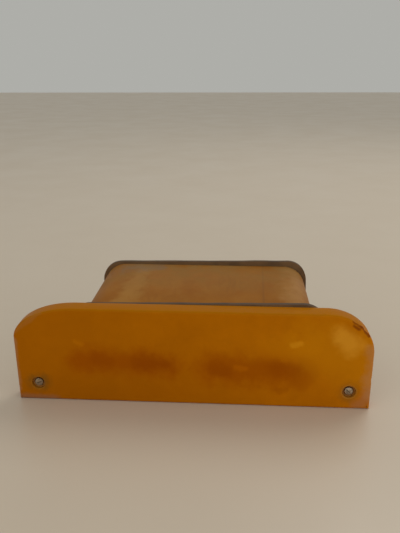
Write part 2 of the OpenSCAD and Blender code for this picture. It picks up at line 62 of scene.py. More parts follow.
Point = tuple[float, float]
Ring = list[Vector]
Outline = Sequence[Point]
Profile = Sequence[Point]
Shape = Callable[[float, float, float], float]
Colour = tuple[float, float, float]


# ---- places taken from the frame ----

class Heading(Enum):
    """The way a turned piece points."""

    RIGHT = (1.0, 0.0, 0.0)
    LEFT = (-1.0, 0.0, 0.0)
    REAR = (0.0, 1.0, 0.0)
    FRONT = (0.0, -1.0, 0.0)
    UP = (0.0, 0.0, 1.0)

    def stand(self, at: Vector) -> Matrix:
        """Place a piece.

        Args:
            at: where the piece's own origin goes.

        Returns:
            The matrix that turns the piece's +Z into this heading and moves it there.
        """
        turn = Vector(self.value).to_track_quat("Z", "Y").to_matrix().to_4x4()
        return Matrix.Translation(at) @ turn


@dataclass(frozen=True)
class Room:
    """The box that one solid of the frame takes up."""

    low: Vector
    high: Vector

    @property
    def middle(self) -> Vector:
        """Centre of the box."""
        return (self.low + self.high) / 2

    @property
    def size(self) -> Vector:
        """Length of the box along each axis."""
        return self.high - self.low


def room_of(node: str) -> Room:
    """Give a node's box.

    Args:
        node: name of the node in the frame.

    Returns:
        Its box at rest.
    """
    return Room(*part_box(node))


def rooms_in(node: str) -> list[Room]:
    """Give the box of each separate solid in a node.

    Args:
        node: name of the node in the frame.

    Returns:
        The boxes, ordered from the bottom up and then from left to right.
    """
    mesh = merged(node)
    seen: set[bmesh.types.BMVert] = set()
    rooms = []
    for start in mesh.verts:
        if start in seen:
            continue
        seen.add(start)
        found, todo = [], [start]
        while todo:
            vert = todo.pop()
            found.append(vert.co.copy())
            near = [e.other_vert(vert) for e in vert.link_edges]
            fresh = [v for v in near if v not in seen]
            seen.update(fresh)
            todo.extend(fresh)
        low = Vector(min(p[k] for p in found) for k in range(3))
        high = Vector(max(p[k] for p in found) for k in range(3))
        rooms.append(Room(low, high))
    mesh.free()
    return sorted(rooms, key=lambda r: (round(r.middle.z, 4), round(r.middle.x, 4)))


def merged(node: str) -> bmesh.types.BMesh:
    """Copy a node's mesh with its split corners joined.

    Args:
        node: name of the node in the frame.

    Returns:
        The copy, without the edges that only divide a flat face.
    """
    mesh = bmesh.new()
    mesh.from_mesh(frame["nodes"][node].data)
    bmesh.ops.remove_doubles(mesh, verts=mesh.verts, dist=2e-6)
    bmesh.ops.dissolve_limit(mesh, angle_limit=math.radians(0.5), verts=mesh.verts,
                             edges=mesh.edges, use_dissolve_boundaries=False)
    return mesh


def loops_at(node: str, y: float) -> list[Outline]:
    """Read the outlines of a node's flat face.

    Args:
        node: name of the node in the frame.
        y: station of the face along Y.

    Returns:
        The outlines, anticlockwise as seen from the front and the largest first.
    """
    mesh = merged(node)
    flat = {f for f in mesh.faces if all(abs(v.co.y - y) < 1e-5 for v in f.verts)}
    rim = {e for e in mesh.edges if sum(f in flat for f in e.link_faces) == 1}
    loops = []
    while rim:
        edge = rim.pop()
        start, here = edge.verts
        loop = [(start.co.x, start.co.z)]
        while here is not start:
            loop.append((here.co.x, here.co.z))
            edge = next(e for e in here.link_edges if e in rim)
            rim.discard(edge)
            here = edge.other_vert(here)
        loops.append(loop if area(loop) > 0 else loop[::-1])
    mesh.free()
    return sorted(loops, key=area, reverse=True)


# ---- outlines ----

def area(points: Outline) -> float:
    """Measure a closed outline.

    Args:
        points: the outline.

    Returns:
        Its area, above nought where it runs anticlockwise.
    """
    pairs = zip(points, list(points[1:]) + [points[0]])
    return sum(ax * bz - bx * az for (ax, az), (bx, bz) in pairs) / 2


def centre_of(loop: Outline) -> Point:
    """Give the middle of a round outline.

    Args:
        loop: the outline.

    Returns:
        Its middle in X and Z.
    """
    xs, zs = [p[0] for p in loop], [p[1] for p in loop]
    return (min(xs) + max(xs)) / 2, (min(zs) + max(zs)) / 2


def spread_of(loop: Outline) -> float:
    """Give the radius of a round outline.

    Args:
        loop: the outline.

    Returns:
        Half its width.
    """
    xs = [p[0] for p in loop]
    return (max(xs) - min(xs)) / 2


def circle(x: float, z: float, radius: float, steps: int = 32) -> list[Point]:
    """Draw a circle in X and Z.

    Args:
        x: centre along X.
        z: centre along Z.
        radius: its radius.
        steps: how many edges it has.

    Returns:
        The points, anticlockwise as seen from the front.
    """
    turns = [2 * math.pi * i / steps for i in range(steps)]
    return [(x + radius * math.cos(t), z + radius * math.sin(t)) for t in turns]


def eased(points: Outline, step: float, box: Room) -> list[Point]:
    """Divide an outline finely and round its coarse curves.

    Args:
        points: the outline.
        step: the longest edge that may stay.
        box: the box that the outline must stay in.

    Returns:
        The finer outline. Corners sharper than 25 degrees stay as they are.
    """
    corners = [Vector(p) for i, p in enumerate(points)
               if math.dist(p, points[i - 1]) > 0.1 * MM]
    count = len(corners)
    edges = [corners[(i + 1) % count] - corners[i] for i in range(count)]

    def lean(vertex: int, own: int) -> Vector:
        """Give the direction in which an edge leaves or reaches a vertex.

        Args:
            vertex: number of the vertex.
            own: number of the edge.

        Returns:
            The direction, one unit long.
        """
        before, after = edges[vertex - 1], edges[vertex]
        if before.angle(after) > math.radians(25):
            return edges[own].normalized()
        if max(before.length, after.length) > 2.5 * min(before.length, after.length):
            return max(before, after, key=lambda e: e.length).normalized()
        return (before.normalized() + after.normalized()).normalized()

    out = []
    for i, edge in enumerate(edges):
        start, end = corners[i], corners[(i + 1) % count]
        leave, reach = lean(i, i) * edge.length, lean((i + 1) % count, i) * edge.length
        parts = max(1, math.ceil(edge.length / step))
        for k in range(parts):
            t = k / parts
            point = (start * (2 * t**3 - 3 * t**2 + 1) + leave * (t**3 - 2 * t**2 + t)
                     + end * (3 * t**2 - 2 * t**3) + reach * (t**3 - t**2))
            out.append((min(max(point.x, box.low.x), box.high.x),
                        min(max(point.y, box.low.z), box.high.z)))
    return out


def inset(points: Outline, depths: Sequence[float]) -> list[Point]:
    """Move a closed outline inwards.

    Args:
        points: the outline, anticlockwise.
        depths: how far each point moves in, negative to move it out.

    Returns:
        The moved outline.
    """
    out = []
    count = len(points)
    for i, depth in enumerate(depths):
        before, here, after = (Vector(points[(i + k) % count]) for k in (-1, 0, 1))
        a, b = (here - before).normalized(), (after - here).normalized()
        normal_a, normal_b = Vector((-a.y, a.x)), Vector((-b.y, b.x))
        bisector = (normal_a + normal_b).normalized()
        reach = depth / max(0.4, bisector.dot(normal_a))
        out.append(tuple(here + bisector * reach))
    return out


def rounding(radius: float, steps: int = 4, shoulder: float = 0.0005) -> list[Point]:
    """Lay out a rounded edge between a flat face and a wall.

    Args:
        radius: radius of the edge.
        steps: faces across it.
        shoulder: width of the flat band that keeps the face's shading flat.

    Returns:
        For each ring from the face on, how far it lies within the wall and below the face.
    """
    turns = [math.pi / 2 * i / steps for i in range(steps + 1)]
    edge = [(radius * (1 - math.sin(t)), radius * (1 - math.cos(t))) for t in turns]
    return [(radius + shoulder, 0.0)] + edge


def ring_at(points: Outline, y: float) -> Ring:
    """Stand an outline at a station along Y.

    Args:
        points: the outline in X and Z.
        y: the station.

    Returns:
        The points in space.
    """
    return [Vector((x, y, z)) for x, z in points]


# ---- making meshes ----

class Blank:
    """A piece on the bench, shaped step by step and then finished."""

    def __init__(self, mesh: Optional[bmesh.types.BMesh] = None) -> None:
        """Start with a mesh, or with nothing."""
        self.mesh = mesh or bmesh.new()

    def verts(self, points: Ring) -> list[bmesh.types.BMVert]:
        """Add the points of a ring.

        Args:
            points: the ring.

        Returns:
            The new vertices.
        """
        return [self.mesh.verts.new(p) for p in points]

    def stitch(self, rings: Sequence[Sequence[bmesh.types.BMVert]], closed: bool = False) -> None:
        """Skin successive rings with faces. A ring of one vertex is a point.

        Args:
            rings: the rings in order.
            closed: whether the last ring joins the first again.
        """
        pairs = list(zip(rings, rings[1:]))
        if closed:
            pairs.append((rings[-1], rings[0]))
        for a, b in pairs:
            count = max(len(a), len(b))
            for i in range(count):
                j = (i + 1) % count
                corners = [a[i % len(a)], a[j % len(a)], b[j % len(b)], b[i % len(b)]]
                face = list(dict.fromkeys(corners))
                if len(face) > 2:
                    self.mesh.faces.new(face)

    def fill(self, loops: Sequence[Sequence[bmesh.types.BMVert]]) -> None:
        """Fill a flat face that has holes.

        Args:
            loops: the outer loop and the loops of its holes.
        """
        edges = []
        for loop in loops:
            for a, b in zip(loop, list(loop[1:]) + [loop[0]]):
                edges.append(self.mesh.edges.get((a, b)) or self.mesh.edges.new((a, b)))
        bmesh.ops.triangle_fill(self.mesh, use_beauty=True, use_dissolve=False, edges=edges)

    def slab(self, outer: Sequence[Ring], holes: Sequence["Bore"] = ()) -> "Blank":
        """Make a plate from the rings of its edge, from front to back.

        Args:
            outer: the rings of its edge.
            holes: the holes in it.

        Returns:
            This blank.
        """
        edge = [self.verts(r) for r in outer]
        self.stitch(edge)
        fronts, backs = [edge[0]], [edge[-1]]
        for hole in holes:
            wall = [self.verts(r) for r in hole.rings]
            self.stitch(wall)
            backs.append(wall[-1])
            if hole.ends is Ends.BOTH:
                fronts.append(wall[0])
            else:
                self.fill([wall[0]])
        self.fill(fronts)
        self.fill(backs)
        return self

    def join(self, other: "Blank") -> "Blank":
        """Add another blank's pieces to this one.

        Args:
            other: the blank to add.

        Returns:
            This blank.
        """
        data = bpy.data.meshes.new("blank")
        other.mesh.to_mesh(data)
        other.mesh.free()
        self.mesh.from_mesh(data)
        bpy.data.meshes.remove(data)
        return self

    def cut(self, tool: "Blank") -> "Blank":
        """Take another blank's shape out of this one.

        Args:
            tool: the shape to take out.

        Returns:
            This blank.
        """
        solids = []
        for blank in (self, tool):
            bmesh.ops.recalc_face_normals(blank.mesh, faces=blank.mesh.faces)
            data = bpy.data.meshes.new("blank")
            blank.mesh.to_mesh(data)
            blank.mesh.free()
            solids.append(bpy.data.objects.new("blank", data))
            bpy.context.scene.collection.objects.link(solids[-1])
        modifier = solids[0].modifiers.new("cut", "BOOLEAN")
        modifier.object = solids[1]
        modifier.solver = "EXACT"
        modifier.operation = "DIFFERENCE"
        graph = bpy.context.evaluated_depsgraph_get()
        self.mesh = bmesh.new()
        self.mesh.from_mesh(solids[0].evaluated_get(graph).to_mesh())
        for solid in solids:
            bpy.data.meshes.remove(solid.data)
        return self

    def turn(self, profile: Profile, place: Matrix, steps: int = 40, closed: bool = False,
             shape: Optional[Shape] = None) -> "Blank":
        """Turn a profile about its axis.

        Args:
            profile: points as radius and height along the axis.
            place: where the piece stands.
            steps: faces round the axis.
            closed: whether the profile is a closed ring, as on a washer.
            shape: gives the radius from angle, radius and height, for flutes or threads.

        Returns:
            This blank.
        """
        rings = []
        for radius, height in profile:
            if radius < 1e-7:
                rings.append(self.verts([place @ Vector((0, 0, height))]))
                continue
            ring = []
            for k in range(steps):
                angle = 2 * math.pi * k / steps
                r = shape(angle, radius, height) if shape else radius
                ring.append(place @ Vector((r * math.cos(angle), r * math.sin(angle), height)))
            rings.append(self.verts(ring))
        self.stitch(rings, closed)
        return self

    def sweep(self, path: Sequence[Vector], radius: float, sides: int = 12) -> "Blank":
        """Sweep a round bar along a path.

        Args:
            path: points along its middle.
            radius: its radius.
            sides: faces round it.

        Returns:
            This blank.
        """
        rings = []
        side = Vector((0.3, 0.2, 1.0))
        for i, point in enumerate(path):
            ahead = (path[min(i + 1, len(path) - 1)] - path[max(i - 1, 0)]).normalized()
            side = (side - ahead * side.dot(ahead)).normalized()
            other = ahead.cross(side)
            turns = [2 * math.pi * k / sides for k in range(sides)]
            rings.append(self.verts([point + radius * (math.cos(t) * side + math.sin(t) * other)
                                     for t in turns]))
        self.stitch(rings)
        self.mesh.faces.new(rings[0])
        self.mesh.faces.new(rings[-1])
        return self

    def soften(self, width: float, segments: int = 2, sharper: float = 35.0) -> "Blank":
        """Round the sharp edges.

        Args:
            width: width of the rounding.
            segments: faces across it.
            sharper: only edges that turn by more than this, in degrees.

        Returns:
            This blank.
        """
        limit = math.radians(sharper)
        sharp = [e for e in self.mesh.edges
                 if len(e.link_faces) == 2 and e.calc_face_angle(0.0) > limit]
        bmesh.ops.bevel(self.mesh, geom=sharp, offset=width, offset_type="OFFSET",
                        segments=segments, profile=0.5, affect="EDGES", clamp_overlap=False)
        return self

    def finish(self, name: str, *nodes: str, crease: float = 38.0,
               coat: Optional["Finish"] = None) -> bpy.types.Object:
        """Turn the blank into a piece of the model, dressed and riding as its nodes do.

        Args:
            name: name of the piece.
            *nodes: the nodes that it stands for.
            crease: edges sharper than this stay sharp, in degrees.
            coat: a finish of its own, where it differs from its slot's.

        Returns:
            The new object.
        """
        bmesh.ops.recalc_face_normals(self.mesh, faces=self.mesh.faces)
        data = bpy.data.meshes.new(name)
        self.mesh.to_mesh(data)
        self.mesh.free()
        data.polygons.foreach_set("use_smooth", [True] * len(data.polygons))
        data.set_sharp_from_angle(angle=math.radians(crease))
        data.materials.append((coat or FINISHES[SLOT_OF[nodes[0]]]).make())
        piece = bpy.data.objects.new(name, data)
        bpy.context.scene.collection.objects.link(piece)
        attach(piece, BODY_OF[nodes[0]])
        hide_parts(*nodes)
        LOG.info("%s rides on %s, %d faces", name, BODY_OF[nodes[0]], len(data.polygons))
        return piece


class Ends(Enum):
    """Which faces of a slab a hole opens in."""

    BOTH = "both"
    BACK = "back"


@dataclass(frozen=True)
class Bore:
    """A hole in a slab, as the rings of its wall from front to back."""

    rings: Sequence[Ring]
    ends: Ends = Ends.BOTH

    @classmethod
    def round(cls, x: float, z: float, profile: Profile, ends: Ends = Ends.BOTH,
              steps: int = 32) -> "Bore":
        """Make a round hole.

        Args:
            x: centre along X.
            z: centre along Z.
            profile: radius and station along Y, from front to back.
            ends: which faces it opens in.
            steps: faces round it.

        Returns:
            The hole.
        """
        return cls([ring_at(circle(x, z, r, steps), y) for r, y in profile], ends)


# ---- node groups that several finishes share ----

Feed = float | Sequence[float] | bpy.types.NodeSocket


class Board:
    """A node tree under construction, with one short call for each kind of node."""

    def __init__(self, tree: bpy.types.NodeTree) -> None:
        """Work on a tree."""
        self.tree = tree

    def feed(self, socket: bpy.types.NodeSocket, value: Feed) -> None:
        """Link a socket or set its value.

        Args:
            socket: the input.
            value: an output to link, or a number or colour to set.
        """
        if isinstance(value, bpy.types.NodeSocket):
            self.tree.links.new(value, socket)
        elif socket.type == "RGBA":
            socket.default_value = (*value, 1.0)
        else:
            socket.default_value = value

    def put(self, kind: str, feeds: dict[str | int, Feed], **settings: object) -> bpy.types.Node:
        """Add a node.

        Args:
            kind: its type, without the leading words that all shader nodes share.
            feeds: what goes into its inputs.
            **settings: its other settings.

        Returns:
            The node.
        """
        node = self.tree.nodes.new("ShaderNode" + kind)
        for name, value in settings.items():
            setattr(node, name, value)
        for key, value in feeds.items():
            self.feed(node.inputs[key], value)
        return node

    def place(self) -> bpy.types.NodeSocket:
        """Where a point is on the piece."""
        return self.put("TexCoord", {}).outputs["Object"]

    def facing(self, axis: Heading) -> bpy.types.NodeSocket:
        """Say how far the surface faces a heading, from -1 to 1.

        Args:
            axis: the heading.

        Returns:
            The value.
        """
        normal = self.put("TexCoord", {}).outputs["Normal"]
        node = self.put("VectorMath", {0: normal, 1: axis.value}, operation="DOT_PRODUCT")
        return node.outputs["Value"]

    def maths(self, sum_kind: str, a: Feed, b: Feed = 0.0, clamp: bool = False) -> bpy.types.NodeSocket:
        """Work out a sum.

        Args:
            sum_kind: ADD, MULTIPLY and so on.
            a: the first number.
            b: the second number.
            clamp: whether the answer is kept from 0 to 1.

        Returns:
            The answer.
        """
        node = self.put("Math", {}, operation=sum_kind, use_clamp=clamp)
        self.feed(node.inputs[0], a)
        self.feed(node.inputs[1], b)
        return node.outputs[0]

    def both(self, sum_kind: str, a: Feed, b: Feed) -> bpy.types.NodeSocket:
        """Work out a sum of two vectors.

        Args:
            sum_kind: ADD, MULTIPLY and so on.
            a: the first vector.
            b: the second vector.

        Returns:
            The answer.
        """
        node = self.put("VectorMath", {}, operation=sum_kind)
        self.feed(node.inputs[0], a)
        self.feed(node.inputs[1], b)
        return node.outputs[0]

    def ramp(self, value: Feed, low: Feed, high: Feed, start: float = 0.0,
             end: float = 1.0) -> bpy.types.NodeSocket:
        """Ease a value from one number to another.

        Args:
            value: the value.
            low: where the change begins.
            high: where it ends.
            start: the number below the change.
            end: the number above it.

        Returns:
            The eased value.
        """
        feeds = {"Value": value, "From Min": low, "From Max": high, "To Min": start, "To Max": end}
        return self.put("MapRange", feeds, interpolation_type="SMOOTHSTEP").outputs["Result"]

    def mix(self, share: Feed, a: Feed, b: Feed) -> bpy.types.NodeSocket:
        """Mix two colours.

        Args:
            share: how much of the second colour.
            a: the first colour.
            b: the second colour.

        Returns:
            The mixed colour.
        """
        node = self.put("Mix", {}, data_type="RGBA")
        self.feed(node.inputs[0], share)
        self.feed(node.inputs[6], a)
        self.feed(node.inputs[7], b)
        return node.outputs[2]

    def clouds(self, scale: Feed, detail: float = 3.0, rough: float = 0.55,
               stretch: Feed = (1.0, 1.0, 1.0), bend: float = 0.0) -> bpy.types.NodeSocket:
        """Lay noise over the piece.

        Args:
            scale: how many waves to the metre.
            detail: how many finer waves lie on the large ones.
            rough: how strong the finer waves are.
            stretch: the number of waves along each axis, against the scale.
            bend: how far the waves are bent.

        Returns:
            Noise from 0 to 1.
        """
        at = self.both("MULTIPLY", self.place(), stretch)
        feeds = {"Vector": at, "Scale": scale, "Detail": detail, "Roughness": rough,
                 "Distortion": bend}
        return self.put("TexNoise", feeds).outputs[0]

    def effect(self, effect: type["Effect"], **feeds: Feed) -> dict[str, bpy.types.NodeSocket]:
        """Place a shared effect.

        Args:
            effect: the effect.
            **feeds: what goes into its inputs.

        Returns:
            Its outputs by name.
        """
        node = self.tree.nodes.new("ShaderNodeGroup")
        node.node_tree = effect.group()
        for name, value in feeds.items():
            self.feed(node.inputs[name], value)
        return {socket.name: socket for socket in node.outputs}


class Effect:
    """A look that several finishes share, kept as one node group."""

    TAKES: dict[str, float | tuple[float, float, float]] = {}
    GIVES: tuple[str, ...] = ("Mask",)

    @classmethod
    def group(cls) -> bpy.types.NodeTree:
        """Give the node group, built the first time it is asked for.

        Returns:
            The group.
        """
        found = bpy.data.node_groups.get(cls.__name__)
        if found:
            return found
        tree = bpy.data.node_groups.new(cls.__name__, "ShaderNodeTree")
        for name, start in cls.TAKES.items():
            kind = "NodeSocketFloat" if isinstance(start, float) else "NodeSocketVector"
            socket = tree.interface.new_socket(name, in_out="INPUT", socket_type=kind)
            socket.default_value = start
        for name in cls.GIVES:
            tree.interface.new_socket(name, in_out="OUTPUT", socket_type="NodeSocketFloat")
        board = Board(tree)
        entry = tree.nodes.new("NodeGroupInput")
        leave = tree.nodes.new("NodeGroupOutput")
        given = cls.lay_out(board, {s.name: s for s in entry.outputs if s.name})
        for name, value in zip(cls.GIVES, given):
            board.feed(leave.inputs[name], value)
        return tree

    @classmethod
    def lay_out(cls, board: Board,
                takes: dict[str, bpy.types.NodeSocket]) -> Sequence[bpy.types.NodeSocket]:
        """Lay out the group's nodes.

        Args:
            board: the group's board.
            takes: the group's inputs by name.

        Returns:
            What goes to each of the group's outputs.
        """
        raise NotImplementedError


class Grain(Effect):
    """Fine unevenness of a moulded, cast or painted surface."""

    TAKES = {"Scale": 900.0}
    GIVES = ("Height", "Tone")

    @classmethod
    def lay_out(cls, board: Board,
                takes: dict[str, bpy.types.NodeSocket]) -> Sequence[bpy.types.NodeSocket]:
        """Lay fine noise on coarse noise.

        Args:
            board: the group's board.
            takes: the group's inputs by name.

        Returns:
            The height and the tone.
        """
        fine = board.clouds(takes["Scale"], 2.0)
        coarse = board.clouds(board.maths("MULTIPLY", takes["Scale"], 0.12), 3.0)
        height = board.maths("ADD", board.maths("MULTIPLY", fine, 0.45), coarse)
        return height, board.ramp(coarse, 0.3, 0.7)


class Dust(Effect):
    """Dust that settles on what faces up and gathers in patches."""

    TAKES = {"Amount": 0.5, "Scale": 60.0}

    @classmethod
    def lay_out(cls, board: Board,
                takes: dict[str, bpy.types.NodeSocket]) -> Sequence[bpy.types.NodeSocket]:
        """Weigh patches of noise by how far the surface faces up.

        Args:
            board: the group's board.
            takes: the group's inputs by name.

        Returns:
            The mask.
        """
        up = board.ramp(board.facing(Heading.UP), -0.2, 0.9, 0.12, 1.0)
        patches = board.ramp(board.clouds(takes["Scale"], 5.0, 0.65), 0.3, 0.72, 0.25, 1.0)
        specks = board.ramp(board.clouds(2600.0, 1.0), 0.66, 0.74)
        film = board.maths("MULTIPLY", up, patches)
        mask = board.maths("MAXIMUM", film, board.maths("MULTIPLY", specks, up))
        return [board.maths("MULTIPLY", mask, takes["Amount"], clamp=True)]


class Smears(Effect):
    """Streaks left by wiping or handling."""

    TAKES = {"Along": (1.0, 1.0, 1.0), "Scale": 60.0, "Amount": 0.5}

    @classmethod
    def lay_out(cls, board: Board,
                takes: dict[str, bpy.types.NodeSocket]) -> Sequence[bpy.types.NodeSocket]:
        """Stretch noise into streaks and break them up.

        Args:
            board: the group's board.
            takes: the group's inputs by name.

        Returns:
            The mask.
        """
        streaks = board.clouds(takes["Scale"], 4.0, 0.6, takes["Along"], 0.8)
        broken = board.clouds(board.maths("MULTIPLY", takes["Scale"], 0.35), 3.0)
        mask = board.maths("MULTIPLY", board.ramp(streaks, 0.45, 0.75), board.ramp(broken, 0.3, 0.7))
        return [board.maths("MULTIPLY", mask, takes["Amount"], clamp=True)]


class EdgeWear(Effect):
    """Where an edge is rubbed, broken up by noise."""

    TAKES = {"Width": 0.0006, "Ragged": 0.5, "Scale": 300.0}

    @classmethod
    def lay_out(cls, board: Board,
                takes: dict[str, bpy.types.NodeSocket]) -> Sequence[bpy.types.NodeSocket]:
        """Compare the surface's direction with that of a rounder one.

        Args:
            board: the group's board.
            takes: the group's inputs by name.

        Returns:
            The mask.
        """
        round_one = board.put("Bevel", {"Radius": takes["Width"]}, samples=6).outputs[0]
        own = board.put("NewGeometry", {}).outputs["Normal"]
        same = board.put("VectorMath", {0: round_one, 1: own}, operation="DOT_PRODUCT")
        edge = board.ramp(same.outputs["Value"], 0.99, 0.84)
        chips = board.ramp(board.clouds(takes["Scale"], 4.0, 0.7), 0.35, 0.65)
        kept = board.maths("SUBTRACT", 1.0, takes["Ragged"])
        share = board.maths("ADD", kept, board.maths("MULTIPLY", chips, takes["Ragged"]))
        return [board.maths("MULTIPLY", edge, share, clamp=True)]


class Smudge(Effect):
    """A soft mark that runs from one point to another."""

    TAKES = {"From": (0.0, 0.0, 0.0), "To": (0.0, 0.0, 0.0), "Width": 0.01, "Ragged": 0.5}

    @classmethod
    def lay_out(cls, board: Board,
                takes: dict[str, bpy.types.NodeSocket]) -> Sequence[bpy.types.NodeSocket]:
        """Fade with the distance from the line between the points, bent by noise.

        Args:
            board: the group's board.
            takes: the group's inputs by name.

        Returns:
            The mask.
        """
        line = board.both("SUBTRACT", takes["To"], takes["From"])
        off = board.both("SUBTRACT", board.place(), takes["From"])
        along = board.put("VectorMath", {0: off, 1: line}, operation="DOT_PRODUCT")
        whole = board.put("VectorMath", {0: line, 1: line}, operation="DOT_PRODUCT")
        share = board.maths("DIVIDE", along.outputs["Value"], whole.outputs["Value"], clamp=True)
        reached = board.put("VectorMath", {0: line, "Scale": share}, operation="SCALE").outputs[0]
        gap = board.put("VectorMath", {0: board.both("SUBTRACT", off, reached)},
                        operation="LENGTH")
        bend = board.maths("SUBTRACT", board.clouds(95.0, 3.0, 0.6), 0.5)
        bend = board.maths("MULTIPLY", board.maths("MULTIPLY", bend, takes["Ragged"]), 2.4)
        share_out = board.maths("DIVIDE", gap.outputs["Value"], takes["Width"])
        return [board.ramp(board.maths("ADD", share_out, bend), 1.0, 0.15)]


# ---- finishes ----

@dataclass(frozen=True)
class Finish:
    """What a piece's surface is made of and what has happened to it."""

    name: str

    def make(self) -> bpy.types.Material:
        """Give the material, made the first time it is asked for.

        Returns:
            The material.
        """
        found = bpy.data.materials.get(self.name)
        if found:
            return found
        material = bpy.data.materials.new(self.name)
        material.use_nodes = True
        material.node_tree.nodes.clear()
        board = Board(material.node_tree)
        shader = board.put("BsdfPrincipled", {})
        leave = board.put("OutputMaterial", {})
        material.node_tree.links.new(shader.outputs[0], leave.inputs[0])
        self.dress(board, shader)
        return material

    def dress(self, board: Board, shader: bpy.types.Node) -> None:
        """Feed the surface.

        Args:
            board: the material's board.
            shader: the surface's own node.
        """
        raise NotImplementedError

    def relief(self, board: Board, shader: bpy.types.Node, height: Feed, depth: float) -> None:
        """Raise and lower the surface.

        Args:
            board: the material's board.
            shader: the surface's own node.
            height: height from 0 to 1.
            depth: what a height of 1 is, in metres.
        """
        bump = board.put("Bump", {"Strength": 1.0, "Distance": depth, "Height": height})
        board.feed(shader.inputs["Normal"], bump.outputs[0])


@dataclass(frozen=True)
class Mark:
    """A soft mark on a surface, given on the piece itself."""

    start: tuple[float, float, float]
    end: tuple[float, float, float]
    width: float
    colour: Colour
    strength: float = 0.5
    ragged: float = 0.5

    def lay(self, board: Board, base: Feed) -> bpy.types.NodeSocket:
        """Lay the mark on a colour.

        Args:
            board: the material's board.
            base: the colour under it.

        Returns:
            The colour with the mark.
        """
        given = board.effect(Smudge, From=self.start, To=self.end, Width=self.width,
                             Ragged=self.ragged)
        return board.mix(board.maths("MULTIPLY", given["Mask"], self.strength), base, self.colour)


@dataclass(frozen=True)
class AmberPlate(Finish):
    """Cloudy moulded amber with painted light that makes it brighter to the right, painted shade on its
    top, and milky along its edges.
    """

    deep: Colour = (0.43, 0.122, 0.0005)
    bright: Colour = (0.66, 0.205, 0.0015)
    milky: Colour = (0.60, 0.30, 0.062)
    # top is painted shade: its own colour for the faces that look up, darker than most of the front, to
    # offset the light from above.
    top: Colour = (0.45, 0.150, 0.0006)
    marks: tuple[Mark, ...] = ()

    def dress(self, board: Board, shader: bpy.types.Node) -> None:
        """Lay clouded amber with painted light to the right and painted shade on its top, its marks,
        its milky edges and a little dust.

        Args:
            board: the material's board.
            shader: the surface's own node.
        """
        across = board.put("SeparateXYZ", {0: board.place()}).outputs
        # Painted light: the plate grows brighter towards the right, where the light comes from.
        lit_to_right = board.ramp(across[0], -0.11, 0.125)
        low = board.ramp(across[2], 0.045, 0.004)
        cloud = board.clouds(26.0, 5.0, 0.6, bend=0.4)
        share = board.maths("ADD", board.maths("MULTIPLY", lit_to_right, 0.55),
                            board.maths("MULTIPLY", cloud, 0.75))
        share = board.maths("SUBTRACT", share, board.maths("MULTIPLY", low, 0.22), clamp=True)
        colour = board.mix(share, self.deep, self.bright)
        mottle = board.ramp(board.clouds(140.0, 6.0, 0.7), 0.38, 0.7)
        colour = board.mix(board.maths("MULTIPLY", mottle, 0.16), colour, self.deep)
        # Painted shade: faces that look up are mixed towards the darker top colour.
        up = board.ramp(board.facing(Heading.UP), 0.25, 0.9)
        colour = board.mix(board.maths("MULTIPLY", up, 0.85), colour, self.top)
        for mark in self.marks:
            colour = mark.lay(board, colour)
        milk = board.effect(EdgeWear, Width=0.0026, Ragged=0.45, Scale=120.0)["Mask"]
        milk = board.maths("MULTIPLY", milk, board.ramp(across[0], -0.1, 0.11, 0.30, 0.75))
        colour = board.mix(milk, colour, self.milky)
        dust = board.effect(Dust, Amount=0.16, Scale=45.0)["Mask"]
        colour = board.mix(dust, colour, (0.40, 0.18, 0.014))
        board.feed(shader.inputs["Base Color"], colour)
        smears = board.effect(Smears, Along=(1.0, 1.0, 3.2), Scale=38.0, Amount=0.8)["Mask"]
        grain = board.effect(Grain, Scale=1100.0)
        rough = board.maths("ADD", board.maths("MULTIPLY", smears, 0.16),
                            board.maths("MULTIPLY", grain["Tone"], 0.08))
        board.feed(shader.inputs["Roughness"], board.maths("ADD", rough, 0.33))
        shader.inputs["Specular IOR Level"].default_value = 0.03
        shader.inputs["Specular Tint"].default_value = (1.0, 0.52, 0.06, 1.0)
        waves = board.maths("MULTIPLY", board.clouds(55.0, 2.0), 6.0)
        self.relief(board, shader, board.maths("ADD", waves, grain["Height"]), 0.00005)


@dataclass(frozen=True)
class AmberBarrel(Finish):
    """The same moulding, duller and dusty, with darker and lighter marks along its length."""

    base: Colour = (0.32, 0.105, 0.008)
    pale: Colour = (0.38, 0.145, 0.018)
    dust: Colour = (0.31, 0.166, 0.050)
    marks: tuple[Mark, ...] = ()

    def dress(self, board: Board, shader: bpy.types.Node) -> None:
        """Lay duller amber, its streaks and its darker and lighter marks, and dust that thickens to the
        rear.

        Args:
            board: the material's board.
            shader: the surface's own node.
        """
        cloud = board.ramp(board.clouds(30.0, 5.0, 0.65, (1.0, 0.6, 1.0), 0.5), 0.3, 0.7)
        colour = board.mix(cloud, self.base, self.pale)
        streaks = board.effect(Smears, Along=(3.6, 0.5, 3.6), Scale=70.0, Amount=0.55)["Mask"]
        colour = board.mix(streaks, colour, (0.25, 0.085, 0.012))
        for mark in self.marks:
            colour = mark.lay(board, colour)
        along = board.put("SeparateXYZ", {0: board.place()}).outputs[1]
        dust = board.effect(Dust, Amount=0.62, Scale=55.0)["Mask"]
        dust = board.maths("MULTIPLY", dust, board.ramp(along, 0.02, 0.09, 0.32, 1.45), clamp=True)
        colour = board.mix(dust, colour, self.dust)
        worn = board.effect(EdgeWear, Width=0.0012, Ragged=0.6, Scale=160.0)["Mask"]
        colour = board.mix(board.maths("MULTIPLY", worn, 0.45), colour, (0.50, 0.28, 0.11))
        board.feed(shader.inputs["Base Color"], colour)
        grain = board.effect(Grain, Scale=1300.0)
        rough = board.maths("ADD", board.maths("MULTIPLY", dust, 0.35), 0.36)
        board.feed(shader.inputs["Roughness"], rough)
        shader.inputs["Specular IOR Level"].default_value = 0.05
        shader.inputs["Specular Tint"].default_value = (1.0, 0.60, 0.20, 1.0)
        self.relief(board, shader, grain["Height"], 0.00006)


